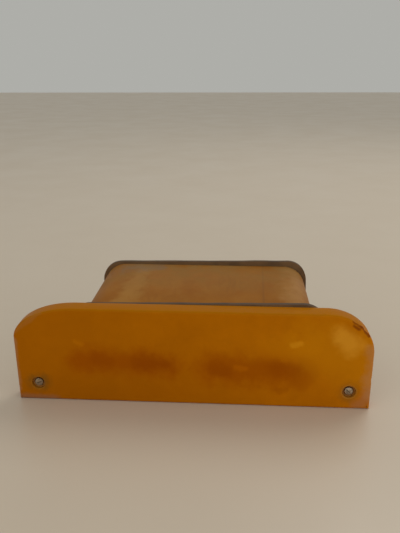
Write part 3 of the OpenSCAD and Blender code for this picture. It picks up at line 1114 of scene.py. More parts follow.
@dataclass(frozen=True)
class Rubber(Finish):
    """Cut or moulded rubber, chalky where it is rubbed."""

    base: Colour = (0.048, 0.030, 0.018)
    rubbed: Colour = (0.21, 0.125, 0.070)
    dusty: float = 0.55
    film: Colour = (0.26, 0.145, 0.060)
    filmed: float = 0.75

    def dress(self, board: Board, shader: bpy.types.Node) -> None:
        """Lay chalky rubber with a brown film where it faces the front.

        Args:
            board: the material's board.
            shader: the surface's own node.
        """
        grain = board.effect(Grain, Scale=1500.0)
        worn = board.effect(EdgeWear, Width=0.0006, Ragged=0.8, Scale=420.0)["Mask"]
        dust = board.effect(Dust, Amount=self.dusty, Scale=90.0)["Mask"]
        share = board.maths("ADD", board.maths("MULTIPLY", worn, 0.45), dust, clamp=True)
        tone = board.mix(board.maths("MULTIPLY", grain["Tone"], 0.35), self.base,
                         tuple(c * 2.2 for c in self.base))
        colour = board.mix(share, tone, self.rubbed)
        front = board.ramp(board.facing(Heading.FRONT), 0.5, 0.95, 0.0, self.filmed)
        patchy = board.ramp(board.clouds(70.0, 4.0, 0.6), 0.3, 0.65, 0.55, 1.0)
        colour = board.mix(board.maths("MULTIPLY", front, patchy), colour, self.film)
        board.feed(shader.inputs["Base Color"], colour)
        board.feed(shader.inputs["Roughness"], board.maths("ADD", 0.58, board.maths(
            "MULTIPLY", grain["Tone"], 0.25)))
        shader.inputs["Specular IOR Level"].default_value = 0.35
        self.relief(board, shader, grain["Height"], 0.00012)


@dataclass(frozen=True)
class Metal(Finish):
    """Bare or plated metal with scratches, tarnish and brighter edges."""

    base: Colour = (0.46, 0.43, 0.40)
    tarnish: Colour = (0.20, 0.15, 0.11)
    tarnished: float = 0.4
    rough: float = 0.3
    dusty: float = 0.1
    marks: tuple[Mark, ...] = ()

    def dress(self, board: Board, shader: bpy.types.Node) -> None:
        """Lay metal with tarnish, brushing and brighter edges.

        Args:
            board: the material's board.
            shader: the surface's own node.
        """
        grain = board.effect(Grain, Scale=1800.0)
        stain = board.ramp(board.clouds(420.0, 5.0, 0.7), 0.62 - 0.3 * self.tarnished,
                           0.84 - 0.3 * self.tarnished)
        worn = board.effect(EdgeWear, Width=0.0003, Ragged=0.4, Scale=900.0)["Mask"]
        left = board.maths("MULTIPLY", stain, board.maths("SUBTRACT", 1.0, worn))
        colour = board.mix(left, self.base, self.tarnish)
        for mark in self.marks:
            colour = mark.lay(board, colour)
        dust = board.effect(Dust, Amount=self.dusty, Scale=120.0)["Mask"]
        board.feed(shader.inputs["Base Color"], board.mix(dust, colour, (0.30, 0.24, 0.18)))
        brushed = board.effect(Smears, Along=(1.0, 6.0, 1.0), Scale=400.0, Amount=1.0)["Mask"]
        rough = board.maths("ADD", board.maths("MULTIPLY", left, 0.3),
                            board.maths("MULTIPLY", brushed, 0.14))
        board.feed(shader.inputs["Roughness"], board.maths("ADD", rough, self.rough))
        board.feed(shader.inputs["Metallic"], board.maths(
            "SUBTRACT", 1.0, board.maths("MULTIPLY", board.maths("MAXIMUM", left, dust), 0.6)))
        self.relief(board, shader, grain["Height"], 0.00002)


@dataclass(frozen=True)
class Enamel(Finish):
    """Sprayed or stoved paint on sheet metal, worn through at its edges."""

    base: Colour = (0.66, 0.65, 0.61)
    under: Colour = (0.34, 0.33, 0.32)
    grimy: Colour = (0.36, 0.31, 0.24)
    rough: float = 0.32
    peel: float = 0.00004
    dusty: float = 0.25

    def dress(self, board: Board, shader: bpy.types.Node) -> None:
        """Lay paint with grime and dust, worn through along its edges.

        Args:
            board: the material's board.
            shader: the surface's own node.
        """
        grain = board.effect(Grain, Scale=700.0)
        tone = board.mix(board.maths("MULTIPLY", grain["Tone"], 0.25), self.base,
                         tuple(c * 0.86 for c in self.base))
        grime = board.effect(Smears, Along=(2.4, 2.4, 0.6), Scale=45.0, Amount=0.5)["Mask"]
        tone = board.mix(board.maths("MULTIPLY", grime, 0.6), tone, self.grimy)
        dust = board.effect(Dust, Amount=self.dusty, Scale=70.0)["Mask"]
        tone = board.mix(dust, tone, (0.42, 0.36, 0.28))
        worn = board.effect(EdgeWear, Width=0.00045, Ragged=0.85, Scale=520.0)["Mask"]
        board.feed(shader.inputs["Base Color"], board.mix(worn, tone, self.under))
        board.feed(shader.inputs["Metallic"], board.maths("MULTIPLY", worn, 0.8))
        board.feed(shader.inputs["Roughness"], board.maths("ADD", self.rough, board.maths(
            "MULTIPLY", board.maths("ADD", dust, grime), 0.3)))
        self.relief(board, shader, grain["Height"], self.peel)


@dataclass(frozen=True)
class Moulding(Finish):
    """Moulded plastic with a fine grain, a little handled."""

    base: Colour = (0.55, 0.52, 0.45)
    rough: float = 0.42
    grain_depth: float = 0.00004
    dusty: float = 0.2

    def dress(self, board: Board, shader: bpy.types.Node) -> None:
        """Lay grained plastic, paler along its edges.

        Args:
            board: the material's board.
            shader: the surface's own node.
        """
        grain = board.effect(Grain, Scale=1500.0)
        tone = board.mix(board.maths("MULTIPLY", grain["Tone"], 0.4), self.base,
                         tuple(c * 0.72 for c in self.base))
        worn = board.effect(EdgeWear, Width=0.0004, Ragged=0.6, Scale=600.0)["Mask"]
        pale = tuple(min(1.0, c * 1.5 + 0.04) for c in self.base)
        tone = board.mix(board.maths("MULTIPLY", worn, 0.4), tone, pale)
        dust = board.effect(Dust, Amount=self.dusty, Scale=80.0)["Mask"]
        board.feed(shader.inputs["Base Color"], board.mix(dust, tone, (0.40, 0.34, 0.27)))
        smears = board.effect(Smears, Along=(1.5, 1.0, 1.0), Scale=110.0, Amount=0.7)["Mask"]
        board.feed(shader.inputs["Roughness"], board.maths("ADD", self.rough, board.maths(
            "MULTIPLY", smears, 0.15)))
        self.relief(board, shader, grain["Height"], self.grain_depth)


@dataclass(frozen=True)
class Laminate(Finish):
    """Brown pressed-paper board with its weave just showing."""

    base: Colour = (0.20, 0.085, 0.030)
    thread: float = 1900.0

    def dress(self, board: Board, shader: bpy.types.Node) -> None:
        """Lay pressed board with its weave.

        Args:
            board: the material's board.
            shader: the surface's own node.
        """
        grain = board.effect(Grain, Scale=800.0)
        warp = board.put("TexWave", {"Vector": board.place(), "Scale": self.thread / 20,
                                     "Distortion": 1.2}, bands_direction="X")
        weft = board.put("TexWave", {"Vector": board.place(), "Scale": self.thread / 20,
                                     "Distortion": 1.2}, bands_direction="Y")
        weave = board.maths("MULTIPLY", warp.outputs["Fac"], weft.outputs["Fac"])
        tone = board.mix(board.maths("MULTIPLY", weave, 0.35), self.base,
                         tuple(c * 1.6 for c in self.base))
        dust = board.effect(Dust, Amount=0.25, Scale=90.0)["Mask"]
        worn = board.effect(EdgeWear, Width=0.0004, Ragged=0.7, Scale=600.0)["Mask"]
        tone = board.mix(board.maths("MULTIPLY", worn, 0.4), tone, (0.34, 0.19, 0.09))
        board.feed(shader.inputs["Base Color"], board.mix(dust, tone, (0.38, 0.31, 0.24)))
        board.feed(shader.inputs["Roughness"], board.maths("ADD", 0.38, board.maths(
            "MULTIPLY", grain["Tone"], 0.2)))
        self.relief(board, shader, board.maths("ADD", weave, grain["Height"]), 0.00003)


@dataclass(frozen=True)
class LampGlass(Finish):
    """Clear lamp glass, faintly smoked by use."""

    tint: Colour = (0.98, 0.97, 0.94)
    smoked: Colour = (0.62, 0.54, 0.44)

    def dress(self, board: Board, shader: bpy.types.Node) -> None:
        """Lay clear glass with smoke and fingerprints.

        Args:
            board: the material's board.
            shader: the surface's own node.
        """
        smoke = board.ramp(board.clouds(85.0, 4.0, 0.6), 0.48, 0.8)
        colour = board.mix(board.maths("MULTIPLY", smoke, 0.4), self.tint, self.smoked)
        board.feed(shader.inputs["Base Color"], colour)
        prints = board.effect(Smears, Along=(1.0, 2.0, 1.0), Scale=160.0, Amount=0.6)["Mask"]
        board.feed(shader.inputs["Roughness"], board.maths("ADD", 0.02, board.maths(
            "MULTIPLY", prints, 0.12)))
        shader.inputs["Transmission Weight"].default_value = 1.0
        shader.inputs["IOR"].default_value = 1.5


@dataclass(frozen=True)
class Filament(Finish):
    """Cold drawn wire, greyed by heat."""

    base: Colour = (0.20, 0.19, 0.19)
    blued: Colour = (0.11, 0.10, 0.14)

    def dress(self, board: Board, shader: bpy.types.Node) -> None:
        """Lay drawn wire with heat stains.

        Args:
            board: the material's board.
            shader: the surface's own node.
        """
        grain = board.effect(Grain, Scale=4000.0)
        board.feed(shader.inputs["Base Color"], board.mix(grain["Tone"], self.base, self.blued))
        board.feed(shader.inputs["Roughness"], board.maths("ADD", 0.4, board.maths(
            "MULTIPLY", grain["Tone"], 0.2)))
        shader.inputs["Metallic"].default_value = 1.0
        self.relief(board, shader, grain["Height"], 0.00001)


def along(start: Sequence[float], end: Sequence[float], width: float, colour: Colour,
          strength: float, ragged: float = 0.5) -> Mark:
    """Put a mark on a piece, with its places and width in millimetres.

    Args:
        start: where it begins.
        end: where it ends.
        width: how wide it is.
        colour: its colour.
        strength: how much it covers.
        ragged: how uneven its edge is.

    Returns:
        The mark.
    """
    ends = [tuple(k * MM for k in point) for point in (start, end)]
    return Mark(ends[0], ends[1], width * MM, colour, strength, ragged)


def on_plate(start: Point, end: Point, width: float, colour: Colour, strength: float,
             ragged: float = 0.5, below: float = 0.0) -> Mark:
    """Put a mark on the plate's front.

    Args:
        start: where it begins, in millimetres along X and Z.
        end: where it ends.
        width: how wide it is, in millimetres.
        colour: its colour.
        strength: how much it covers.
        ragged: how uneven its edge is.
        below: how far its middle lies behind the front, in millimetres.

    Returns:
        The mark.
    """
    y = room_of("face_plate").low.y / MM + below
    return along((start[0], y, start[1]), (end[0], y, end[1]), width, colour, strength, ragged)


# The first two colours are painted shadow tones for the lamp shadows below.
LAMP_SHADOW_TONE: Colour = (0.42, 0.092, 0.0005)
DARK: Colour = (0.35, 0.070, 0.0004)
CRACKED: Colour = (0.20, 0.030, 0.004)
# Painted shadows of the lamps and their holders behind the plate, as they show through it; the last
# mark is a lighter spot among them.
LAMP_SHADOWS = (
    on_plate((-74, 32), (-16, 29), 15, LAMP_SHADOW_TONE, 0.80, 0.45),
    on_plate((-64, 32), (-56, 31), 9, DARK, 0.35, 0.6),
    on_plate((-34, 30), (-17, 30), 9, DARK, 0.60, 0.5),
    on_plate((14, 28), (73, 26.5), 17.5, LAMP_SHADOW_TONE, 0.75, 0.45),
    on_plate((16, 27), (22, 26), 8, DARK, 0.42, 0.6),
    on_plate((58, 30), (70, 28), 9, DARK, 0.42, 0.6),
    on_plate((59.5, 12), (64, 12.5), 3, DARK, 0.22, 0.9),
    on_plate((30, 29), (36, 28), 3, (0.58, 0.160, 0.001), 0.6, 0.9),
)
# Painted light: soft bright patches on the plate, strongest towards the upper right.
PAINTED_LIGHT_PATCHES = (
    on_plate((85, 44), (110, 34), 32, (0.72, 0.265, 0.003), 0.45, 0.4),
    on_plate((99, 53), (104, 48), 12, (0.94, 0.42, 0.034), 0.58, 0.40),
    on_plate((56, 47), (80, 46), 15, (0.72, 0.25, 0.002), 0.32, 0.6),
    on_plate((67, 46.2), (72, 48.2), 3, (0.92, 0.38, 0.015), 0.45, 0.8),
    on_plate((-78, 45), (-74, 43), 3, (0.66, 0.21, 0.002), 0.45, 0.8),
)
CRACKS = (
    on_plate((104.5, 64.0), (110.0, 60.5), 1.6, CRACKED, 0.85, 0.8, below=0.5),
    on_plate((110.0, 60.5), (115.5, 55.0), 2.0, CRACKED, 0.80, 0.9, below=0.5),
    on_plate((105.0, 61.5), (108.5, 59.0), 2.4, CRACKED, 0.75, 0.9),
)
LEFT_SCREW, RIGHT_SCREW = (room.middle / MM for room in rooms_in("mounting_screws"))
# Painted shade: the plate is darkened round each screw, where screw and cup show through it.
SCREW_SHADE_HALOS = tuple(
    on_plate((at.x, at.z), (at.x, at.z + 0.2), width, colour, strength)
    for at, width, colour, strength in ((LEFT_SCREW, 11.5, (0.25, 0.105, 0.012), 0.88),
                                        (RIGHT_SCREW, 10, (0.32, 0.125, 0.014), 0.75)))
SCUFFS = (
    on_plate((112, 1), (119.5, 12), 7, (0.48, 0.20, 0.095), 0.45),
    on_plate((-119, 1), (-95, 0), 6, (0.34, 0.16, 0.090), 0.60),
    on_plate((-119.5, 8), (-119.5, 45), 3, (0.50, 0.24, 0.100), 0.50, 0.6),
    on_plate((119.5, 12), (119.5, 42), 7.5, (0.60, 0.28, 0.110), 0.45, 0.6),
    on_plate((-118, 52), (-100, 65.5), 2.4, (0.50, 0.22, 0.060), 0.28, 0.6),
)
# The plate's marks: painted lamp shadows, painted light patches, cracks, painted shade round the screws
# and scuffs.
PLATE_MARKS = LAMP_SHADOWS + PAINTED_LIGHT_PATCHES + CRACKS + SCREW_SHADE_HALOS + SCUFFS
BARREL_MARKS = (
    along((48, 9, 66), (50, 94, 66), 1.3, (0.20, 0.080, 0.020), 0.38, 0.3),
    along((-48, 15, 66), (-44, 85, 66), 12, (0.50, 0.26, 0.060), 0.40, 0.9),
    along((-55, 82, 64), (-35, 88, 66), 14, (0.19, 0.14, 0.10), 0.65, 0.9),
    along((70, 10, 62), (74, 94, 62), 13, (0.52, 0.28, 0.10), 0.50, 0.6),
)
SCREW_MARKS = tuple(
    along((at.x, -6, at.z - low), (at.x, -3, at.z - low), width, colour, strength, ragged)
    for at, low, width, colour, strength, ragged in (
        (LEFT_SCREW, 0, 6, (0.24, 0.15, 0.070), 0.60, 0.5),
        (RIGHT_SCREW, 1.8, 3, (0.22, 0.14, 0.070), 0.55, 0.8)))

FINISHES: dict[str, Finish] = {
    "amber_plate": AmberPlate("cloudy amber plate", marks=PLATE_MARKS),
    "amber_barrel": AmberBarrel("dusty amber barrel", marks=BARREL_MARKS),
    "black_rubber": Rubber("chalky black rubber"),
    "screw_steel": Metal("zinc-plated screw", (0.56, 0.50, 0.44), (0.17, 0.12, 0.08), 0.45, 0.30, 0.2),
    "alloy": Metal("soft alloy rivet", (0.62, 0.61, 0.60), (0.30, 0.29, 0.28), 0.3, 0.36, 0.1),
    "brass": Metal("turned brass", (0.68, 0.46, 0.16), (0.24, 0.13, 0.05), 0.4, 0.28, 0.15),
    "spring_brass": Metal("spring brass", (0.62, 0.40, 0.14), (0.22, 0.10, 0.05), 0.6, 0.32, 0.1),
    "plated_caps": Metal("plated lamp cap", (0.66, 0.64, 0.60), (0.30, 0.26, 0.20), 0.3, 0.25, 0.1),
    "cover_paint": Enamel("hammered grey cover", (0.20, 0.205, 0.205), (0.40, 0.39, 0.37),
                          (0.13, 0.11, 0.09), 0.38, 0.00016, 0.4),
    "white_enamel": Enamel("white reflector enamel"),
    "board": Laminate("brown laminate board"),
    "lamp_glass": LampGlass("clear lamp glass"),
    "filament": Filament("coiled lamp wire"),
    "block_plastic": Moulding("ivory terminal block", (0.56, 0.51, 0.40), 0.40, 0.00004, 0.25),
    "red_insulation": Moulding("red lead", (0.42, 0.022, 0.016), 0.35, 0.00002, 0.2),
    "black_insulation": Moulding("black lead", (0.022, 0.022, 0.024), 0.36, 0.00002, 0.3),
    "gland_plastic": Moulding("grey gland nylon", (0.11, 0.115, 0.12), 0.46, 0.00005, 0.35),
}
SLOT_OF = {s["node"]: s["material_slot"] for s in frame["record"]["subparts"]}
BODY_OF = {n: body for body, nodes in frame["record"]["behaviour"]["bodies"].items() for n in nodes}

PANEL_SCREW = Metal("weathered panel screw", (0.60, 0.52, 0.42), (0.20, 0.13, 0.07), 0.55, 0.30, 0.3,
                    SCREW_MARKS)
# Painted light: the screw cups' rubber is coloured a pale amber-brown, lifting the shade inside the
# screw recesses.
AMBER_LIT_CUP = Rubber("amber-lit screw cup", (0.34, 0.145, 0.030), (0.42, 0.20, 0.055), 0.6,
                     (0.46, 0.20, 0.034), 0.6)


# ---- the housing ----

def walls(outline: Outline, front: float, back: float, front_edge: Profile, back_edge: Profile,
          extra: Optional[Callable[[Point, float], float]] = None,
          hole: bool = False) -> list[Ring]:
    """Stand an outline up as a wall with rounded edges.

    Args:
        outline: the outline, anticlockwise as seen from the front.
        front: station of the front face.
        back: station of the back face.
        front_edge: the rounding of the front edge.
        back_edge: the rounding of the back edge.
        extra: gives how much further in a point lies, from the point and its depth.
        hole: whether the wall is that of a hole, so that its edges open outwards.

    Returns:
        The rings, from front to back.
    """
    side = -1.0 if hole else 1.0
    stations = [(d, front + y) for d, y in front_edge] + [(d, back - y) for d, y in back_edge[::-1]]
    rings = []
    for depth, y in stations:
        more = [extra(p, y - front) if extra else 0.0 for p in outline]
        rings.append(ring_at(inset(outline, [side * depth + m for m in more]), y))
    return rings


@dataclass
class FacePlate:
    """The amber plate that shows on the crossing, with its worn edge and chips.

    Each chip is given in millimetres: its place in X and Z, how far it reaches and how deep it is.
    """

    front_round: float = 1.5 * MM
    back_round: float = 0.7 * MM
    rim_round: float = 0.35 * MM
    step: float = 1.6 * MM
    shank_hole: float = 1.75 * MM
    counterbore: float = 4.0 * MM
    pocket_from: float = 2.0 * MM
    worn: float = 0.12 * MM
    worn_back_to: float = 5.0 * MM
    waves: float = 90.0
    splinters: float = 900.0
    chips: tuple[tuple[float, float, float, float], ...] = (
        (107.5, 62.9, 4.0, 1.0), (113.5, 57.6, 3.0, 1.3), (-118.0, 8.0, 2.0, 0.7),
        (-60.0, 68.6, 1.8, 0.35), (34.0, 68.6, 2.2, 0.4), (119.8, 22.0, 2.0, 0.5))

    def wear(self, point: Point, depth: float) -> float:
        """Say how far the plate's edge is worn away.

        Args:
            point: a point of the outline.
            depth: how far it lies behind the front face.

        Returns:
            The wear there.
        """
        x, z = point
        fade = max(0.0, 1 - depth / self.worn_back_to)
        loss = self.worn * (0.5 + noise.noise(Vector((x * self.waves, z * self.waves, 1.7))))
        for cx, cz, reach, deep in self.chips:
            off = math.hypot(x - cx * MM, z - cz * MM) / (reach * MM)
            rough = 0.75 + 0.5 * noise.noise(Vector((x, z, depth)) * self.splinters)
            loss += deep * MM * max(0.0, 1 - off * off) * rough
        return max(0.0, loss) * fade

    def build(self) -> bpy.types.Object:
        """Make the plate with its counterbored holes and blind pockets.

        Returns:
            The plate.
        """
        room = room_of("face_plate")
        front, back = room.low.y, room.high.y
        outer, *bores = loops_at("face_plate", front)
        _, *behind = loops_at("face_plate", back)
        holes = []
        for loop in bores:
            at, radius = centre_of(loop), spread_of(loop)
            rim = [(radius + d, front + y) for d, y in rounding(self.rim_round, 3)]
            floor = front + self.counterbore
            profile = rim + [(radius, floor), (self.shank_hole, floor), (self.shank_hole, back)]
            holes.append(Bore.round(*at, profile))
        pockets = [loop for loop in behind if spread_of(loop) > self.pocket_from]
        depth = room_of("face_inserts").low.y
        for loop in pockets:
            radius = spread_of(loop)
            holes.append(Bore.round(*centre_of(loop), [(radius, depth), (radius, back)], Ends.BACK))
        rings = walls(eased(outer, self.step, room), front, back, rounding(self.front_round, 6),
                      rounding(self.back_round, 4), self.wear)
        return Blank().slab(rings, holes).finish("plate_moulding", "face_plate")


@dataclass
class Barrel:
    """The moulded barrel behind the plate."""

    edge_round: float = 0.8 * MM
    step: float = 2.5 * MM

    def build(self) -> bpy.types.Object:
        """Make the barrel as a tube with rounded ends.

        Returns:
            The barrel.
        """
        room = room_of("barrel")
        outer, inner = (eased(p, self.step, room) for p in loops_at("barrel", room.low.y)[:2])
        edge = rounding(self.edge_round, 4)
        skins = [walls(p, room.low.y, room.high.y, edge, edge, hole=h)
                 for p, h in ((outer, False), (inner, True))]
        return Blank().slab(skins[0], [Bore(skins[1])]).finish("barrel_moulding", "barrel")


@dataclass
class Gasket:
    """A rubber ring cut by hand from sheet."""

    node: str
    edge_round: float = 0.4 * MM
    shoulder: float = 0.3 * MM
    unevenness: float = 0.35 * MM
    waves: float = 60.0
    seed: float = 4.0
    step: float = 2.1 * MM

    def cut_line(self, point: Point, depth: float) -> float:
        """Say how far the knife strayed.

        Args:
            point: a point of the outline.
            depth: how far it lies behind the front face. Not used.

        Returns:
            How far in the cut lies there.
        """
        x, z = point
        stray = noise.noise(Vector((x * self.waves, z * self.waves, self.seed)))
        return self.unevenness * min(1.0, max(0.0, 0.45 + stray))

    def build(self) -> bpy.types.Object:
        """Make the ring with its two cut edges.

        Returns:
            The gasket.
        """
        room = room_of(self.node)
        outer, inner = (eased(p, self.step, room) for p in loops_at(self.node, room.low.y)[:2])
        edge = rounding(self.edge_round, 3, self.shoulder)
        rim = walls(outer, room.low.y, room.high.y, edge, edge, self.cut_line)
        opening = walls(inner, room.low.y, room.high.y, edge, edge, hole=True)
        return Blank().slab(rim, [Bore(opening)]).finish(f"cut_{self.node}", self.node)


@dataclass
class Thread:
    """A screw thread, cut as a helix."""

    radius: float
    pitch: float = 0.5 * MM
    rings_a_turn: int = 6

    @property
    def depth(self) -> float:
        """How deep the thread is cut."""
        return 0.55 * self.pitch

    def stations(self, start: float, end: float) -> list[Point]:
        """Lay out the rings of a threaded length.

        Args:
            start: where it begins.
            end: where it ends.

        Returns:
            Points as radius and height, from start to end.
        """
        count = max(2, round(abs(end - start) / self.pitch * self.rings_a_turn))
        return [(self.radius, start + (end - start) * i / count) for i in range(count + 1)]

    def shape(self, angle: float, radius: float, height: float) -> float:
        """Cut the helix into the rings that stand at the thread's own radius.

        Args:
            angle: the angle round the axis.
            radius: the radius before the cut.
            height: the height along the axis.

        Returns:
            The radius after it.
        """
        if abs(radius - self.radius) > 1e-7:
            return radius
        wave = 0.5 - 0.5 * math.cos(2 * math.pi * height / self.pitch - angle)
        return radius - self.depth * wave


@dataclass
class PanelScrews:
    """The two slotted screws through the plate, each in its rubber cup."""

    head_height: float = 2.2 * MM
    head_edge: float = 0.75 * MM
    head_draft: float = 0.5 * MM
    crown: float = 0.35 * MM
    chamfer: float = 0.15 * MM
    slot_width: float = 0.8 * MM
    slot_depth: float = 0.9 * MM
    shank: float = 1.3 * MM
    shank_length: float = 9.2 * MM
    run_out: float = 0.3 * MM
    point: Profile = ((0.0, 0.0), (1.0 * MM, 0.0), (1.2 * MM, 0.3 * MM))
    thread: Thread = field(default_factory=lambda: Thread(1.5 * MM))
    slot_turns: tuple[float, float] = (24.0, -38.0)

    def build(self) -> bpy.types.Object:
        """Make both screws, each turned to its own angle.

        Returns:
            The screws.
        """
        whole = Blank()
        for room, turned in zip(rooms_in("mounting_screws"), self.slot_turns):
            whole.join(self.screw(room, turned))
        return whole.finish("slotted_panel_screws", "mounting_screws", coat=PANEL_SCREW)

    def screw(self, room: Room, turned: float) -> Blank:
        """Make one screw.

        Args:
            room: the box that it fills.
            turned: the angle of its slot, in degrees.

        Returns:
            The blank.
        """
        radius, high = room.size.x / 2, self.head_height
        seat = Vector((room.middle.x, room.low.y + high, room.middle.z))
        tip = -(room.high.y - seat.y)
        side = high - self.head_edge
        profile = [(r, tip + h) for r, h in self.point]
        profile += self.thread.stations(tip + 2 * self.run_out, -self.shank_length)
        profile += [(self.shank, self.run_out - self.shank_length), (self.shank, 0.0)]
        profile += [(radius - self.chamfer, 0.0), (radius, self.chamfer), (radius, side)]
        for i in range(1, 9):
            t = math.pi / 2 * i / 8
            profile.append((radius - self.head_draft * (1 - math.cos(t)),
                            side + (self.head_edge - self.crown) * math.sin(t)))
        flat = profile[-1][0]
        profile += [(flat * k, high - self.crown * k * k) for k in (0.8, 0.55, 0.3)]
        profile.append((0.0, high))
        place = Heading.FRONT.stand(seat)
        blank = Blank().turn(profile, place, 40, shape=self.thread.shape)
        slot = Blank()
        spin = Matrix.Rotation(math.radians(turned), 4, "Z")
        size = Matrix.Diagonal((3 * radius, self.slot_width, 2 * self.slot_depth, 1))
        top = Matrix.Translation((0, 0, high))
        bmesh.ops.create_cube(slot.mesh, size=1.0, matrix=place @ spin @ top @ size)
        return blank.cut(slot)


@dataclass
class ScrewCups:
    """The rubber cups that seal the panel screws."""

    lip_round: float = 0.25 * MM
    floor: float = 1.2 * MM
    inside: float = 3.3 * MM
    bore: float = 1.3 * MM

    def build(self) -> bpy.types.Object:
        """Make both cups.

        Returns:
            The cups.
        """
        whole = Blank()
        for room in rooms_in("screw_cups"):
            radius, high, lip = room.size.x / 2, room.size.y, self.lip_round
            profile = [(self.bore, 0.0), (radius - lip, 0.0), (radius, lip), (radius, high - lip),
                       (radius - lip * 0.3, high - lip * 0.3), (radius - lip, high),
                       (self.inside + lip, high), (self.inside, high - lip),
                       (self.inside, self.floor + lip), (self.inside - lip, self.floor),
                       (self.bore, self.floor)]
            at = Vector((room.middle.x, room.high.y, room.middle.z))
            whole.turn(profile, Heading.FRONT.stand(at), 36, closed=True)
        return whole.finish("moulded_screw_cups", "screw_cups", coat=AMBER_LIT_CUP)


@dataclass
class TieRods:
    """The four rods that hold plate, barrel and cover together."""

    thread: Thread = field(default_factory=lambda: Thread(2.0 * MM, 0.7 * MM))
    front_thread: float = 7.0 * MM
    rear_thread: float = 15.0 * MM
    run_out: float = 0.4 * MM
    undersize: float = 0.02 * MM
    point: float = 0.5 * MM

    def build(self) -> bpy.types.Object:
        """Make the rods, threaded at both ends and plain between.

        Returns:
            The rods.
        """
        whole = Blank()
        for room in rooms_in("tie_rods"):
            long, radius = room.size.y, self.thread.radius
            plain, rear = radius - self.undersize, long - self.rear_thread
            profile = [(0.0, 0.0), (radius - self.point, 0.0)]
            profile += self.thread.stations(self.point, self.front_thread)
            profile += [(plain, self.front_thread + self.run_out), (plain, rear)]
            profile += self.thread.stations(rear + self.run_out, long - self.point)
            profile += [(radius - self.point, long), (0.0, long)]
            at = Vector((room.middle.x, room.low.y, room.middle.z))
            whole.turn(profile, Heading.REAR.stand(at), 24, shape=self.thread.shape)
        return whole.finish("threaded_tie_rods", "tie_rods")


@dataclass
class FaceInserts:
    """Brass inserts that are moulded into the plate for the rods."""

    ribs: int = 24
    rib_depth: float = 0.2 * MM
    ribbed_from: float = 2.7 * MM
    edge: float = 0.3 * MM
    bore: float = 2.0 * MM
    floor: float = 1.0 * MM

    def rib(self, angle: float, radius: float, height: float) -> float:
        """Press the ribs into the outside wall.

        Args:
            angle: the angle round the axis.
            radius: the radius before the cut.
            height: the height along the axis. Not used.

        Returns:
            The radius after it.
        """
        if radius < self.ribbed_from:
            return radius
        return radius - self.rib_depth * (0.5 - 0.5 * math.cos(self.ribs * angle))

    def build(self) -> bpy.types.Object:
        """Make the four inserts.

        Returns:
            The inserts.
        """
        whole = Blank()
        for room in rooms_in("face_inserts"):
            radius, high, edge = room.size.x / 2, room.size.y, self.edge
            profile = [(0.0, 0.0), (radius - edge, 0.0), (radius, edge), (radius, high - edge),
                       (radius - edge, high), (self.bore + edge, high), (self.bore, high - edge),
                       (self.bore, self.floor), (0.0, self.floor)]
            at = Vector((room.middle.x, room.low.y, room.middle.z))
            whole.turn(profile, Heading.REAR.stand(at), 96, shape=self.rib)
        return whole.finish("ribbed_inserts", "face_inserts")


# ---- the rear cover and what it carries ----

@dataclass
class PlainPart:
    """A pressed, moulded or stamped part that only needs its edges rounded."""

    node: str
    edge: float = 0.2 * MM
    segments: int = 2
    crease: float = 38.0
    slot: Optional[Heading] = None
    slot_size: tuple[float, float, float] = (0.7 * MM, 0.7 * MM, 8.0 * MM)
    slot_spin: tuple[float, float] = (90.0, 70.0)

    def slots(self) -> Blank:
        """Shape what is cut out of the heads.

        Returns:
            The shape, each slot turned as its screw happened to stop.
        """
        tool = Blank()
        for room in rooms_in(self.node):
            out = Vector(self.slot.value)
            face = room.middle + Vector(out[k] * room.size[k] / 2 for k in range(3))
            wide, deep, long = self.slot_size
            spin = room.middle.x * self.slot_spin[0] + room.middle.y * self.slot_spin[1]
            place = self.slot.stand(face) @ Matrix.Rotation(spin, 4, "Z")
            size = Matrix.Diagonal((long, wide, 2 * deep, 1))
            bmesh.ops.create_cube(tool.mesh, size=1.0, matrix=place @ size)
        return tool

    def build(self) -> bpy.types.Object:
        """Cut the slots, round the edges and dress the part.

        Returns:
            The part.
        """
        blank = Blank(merged(self.node))
        if self.slot:
            blank.cut(self.slots())
        if self.edge > 0:
            blank.soften(self.edge, self.segments)
        return blank.finish(f"finished_{self.node}", self.node, crease=self.crease)


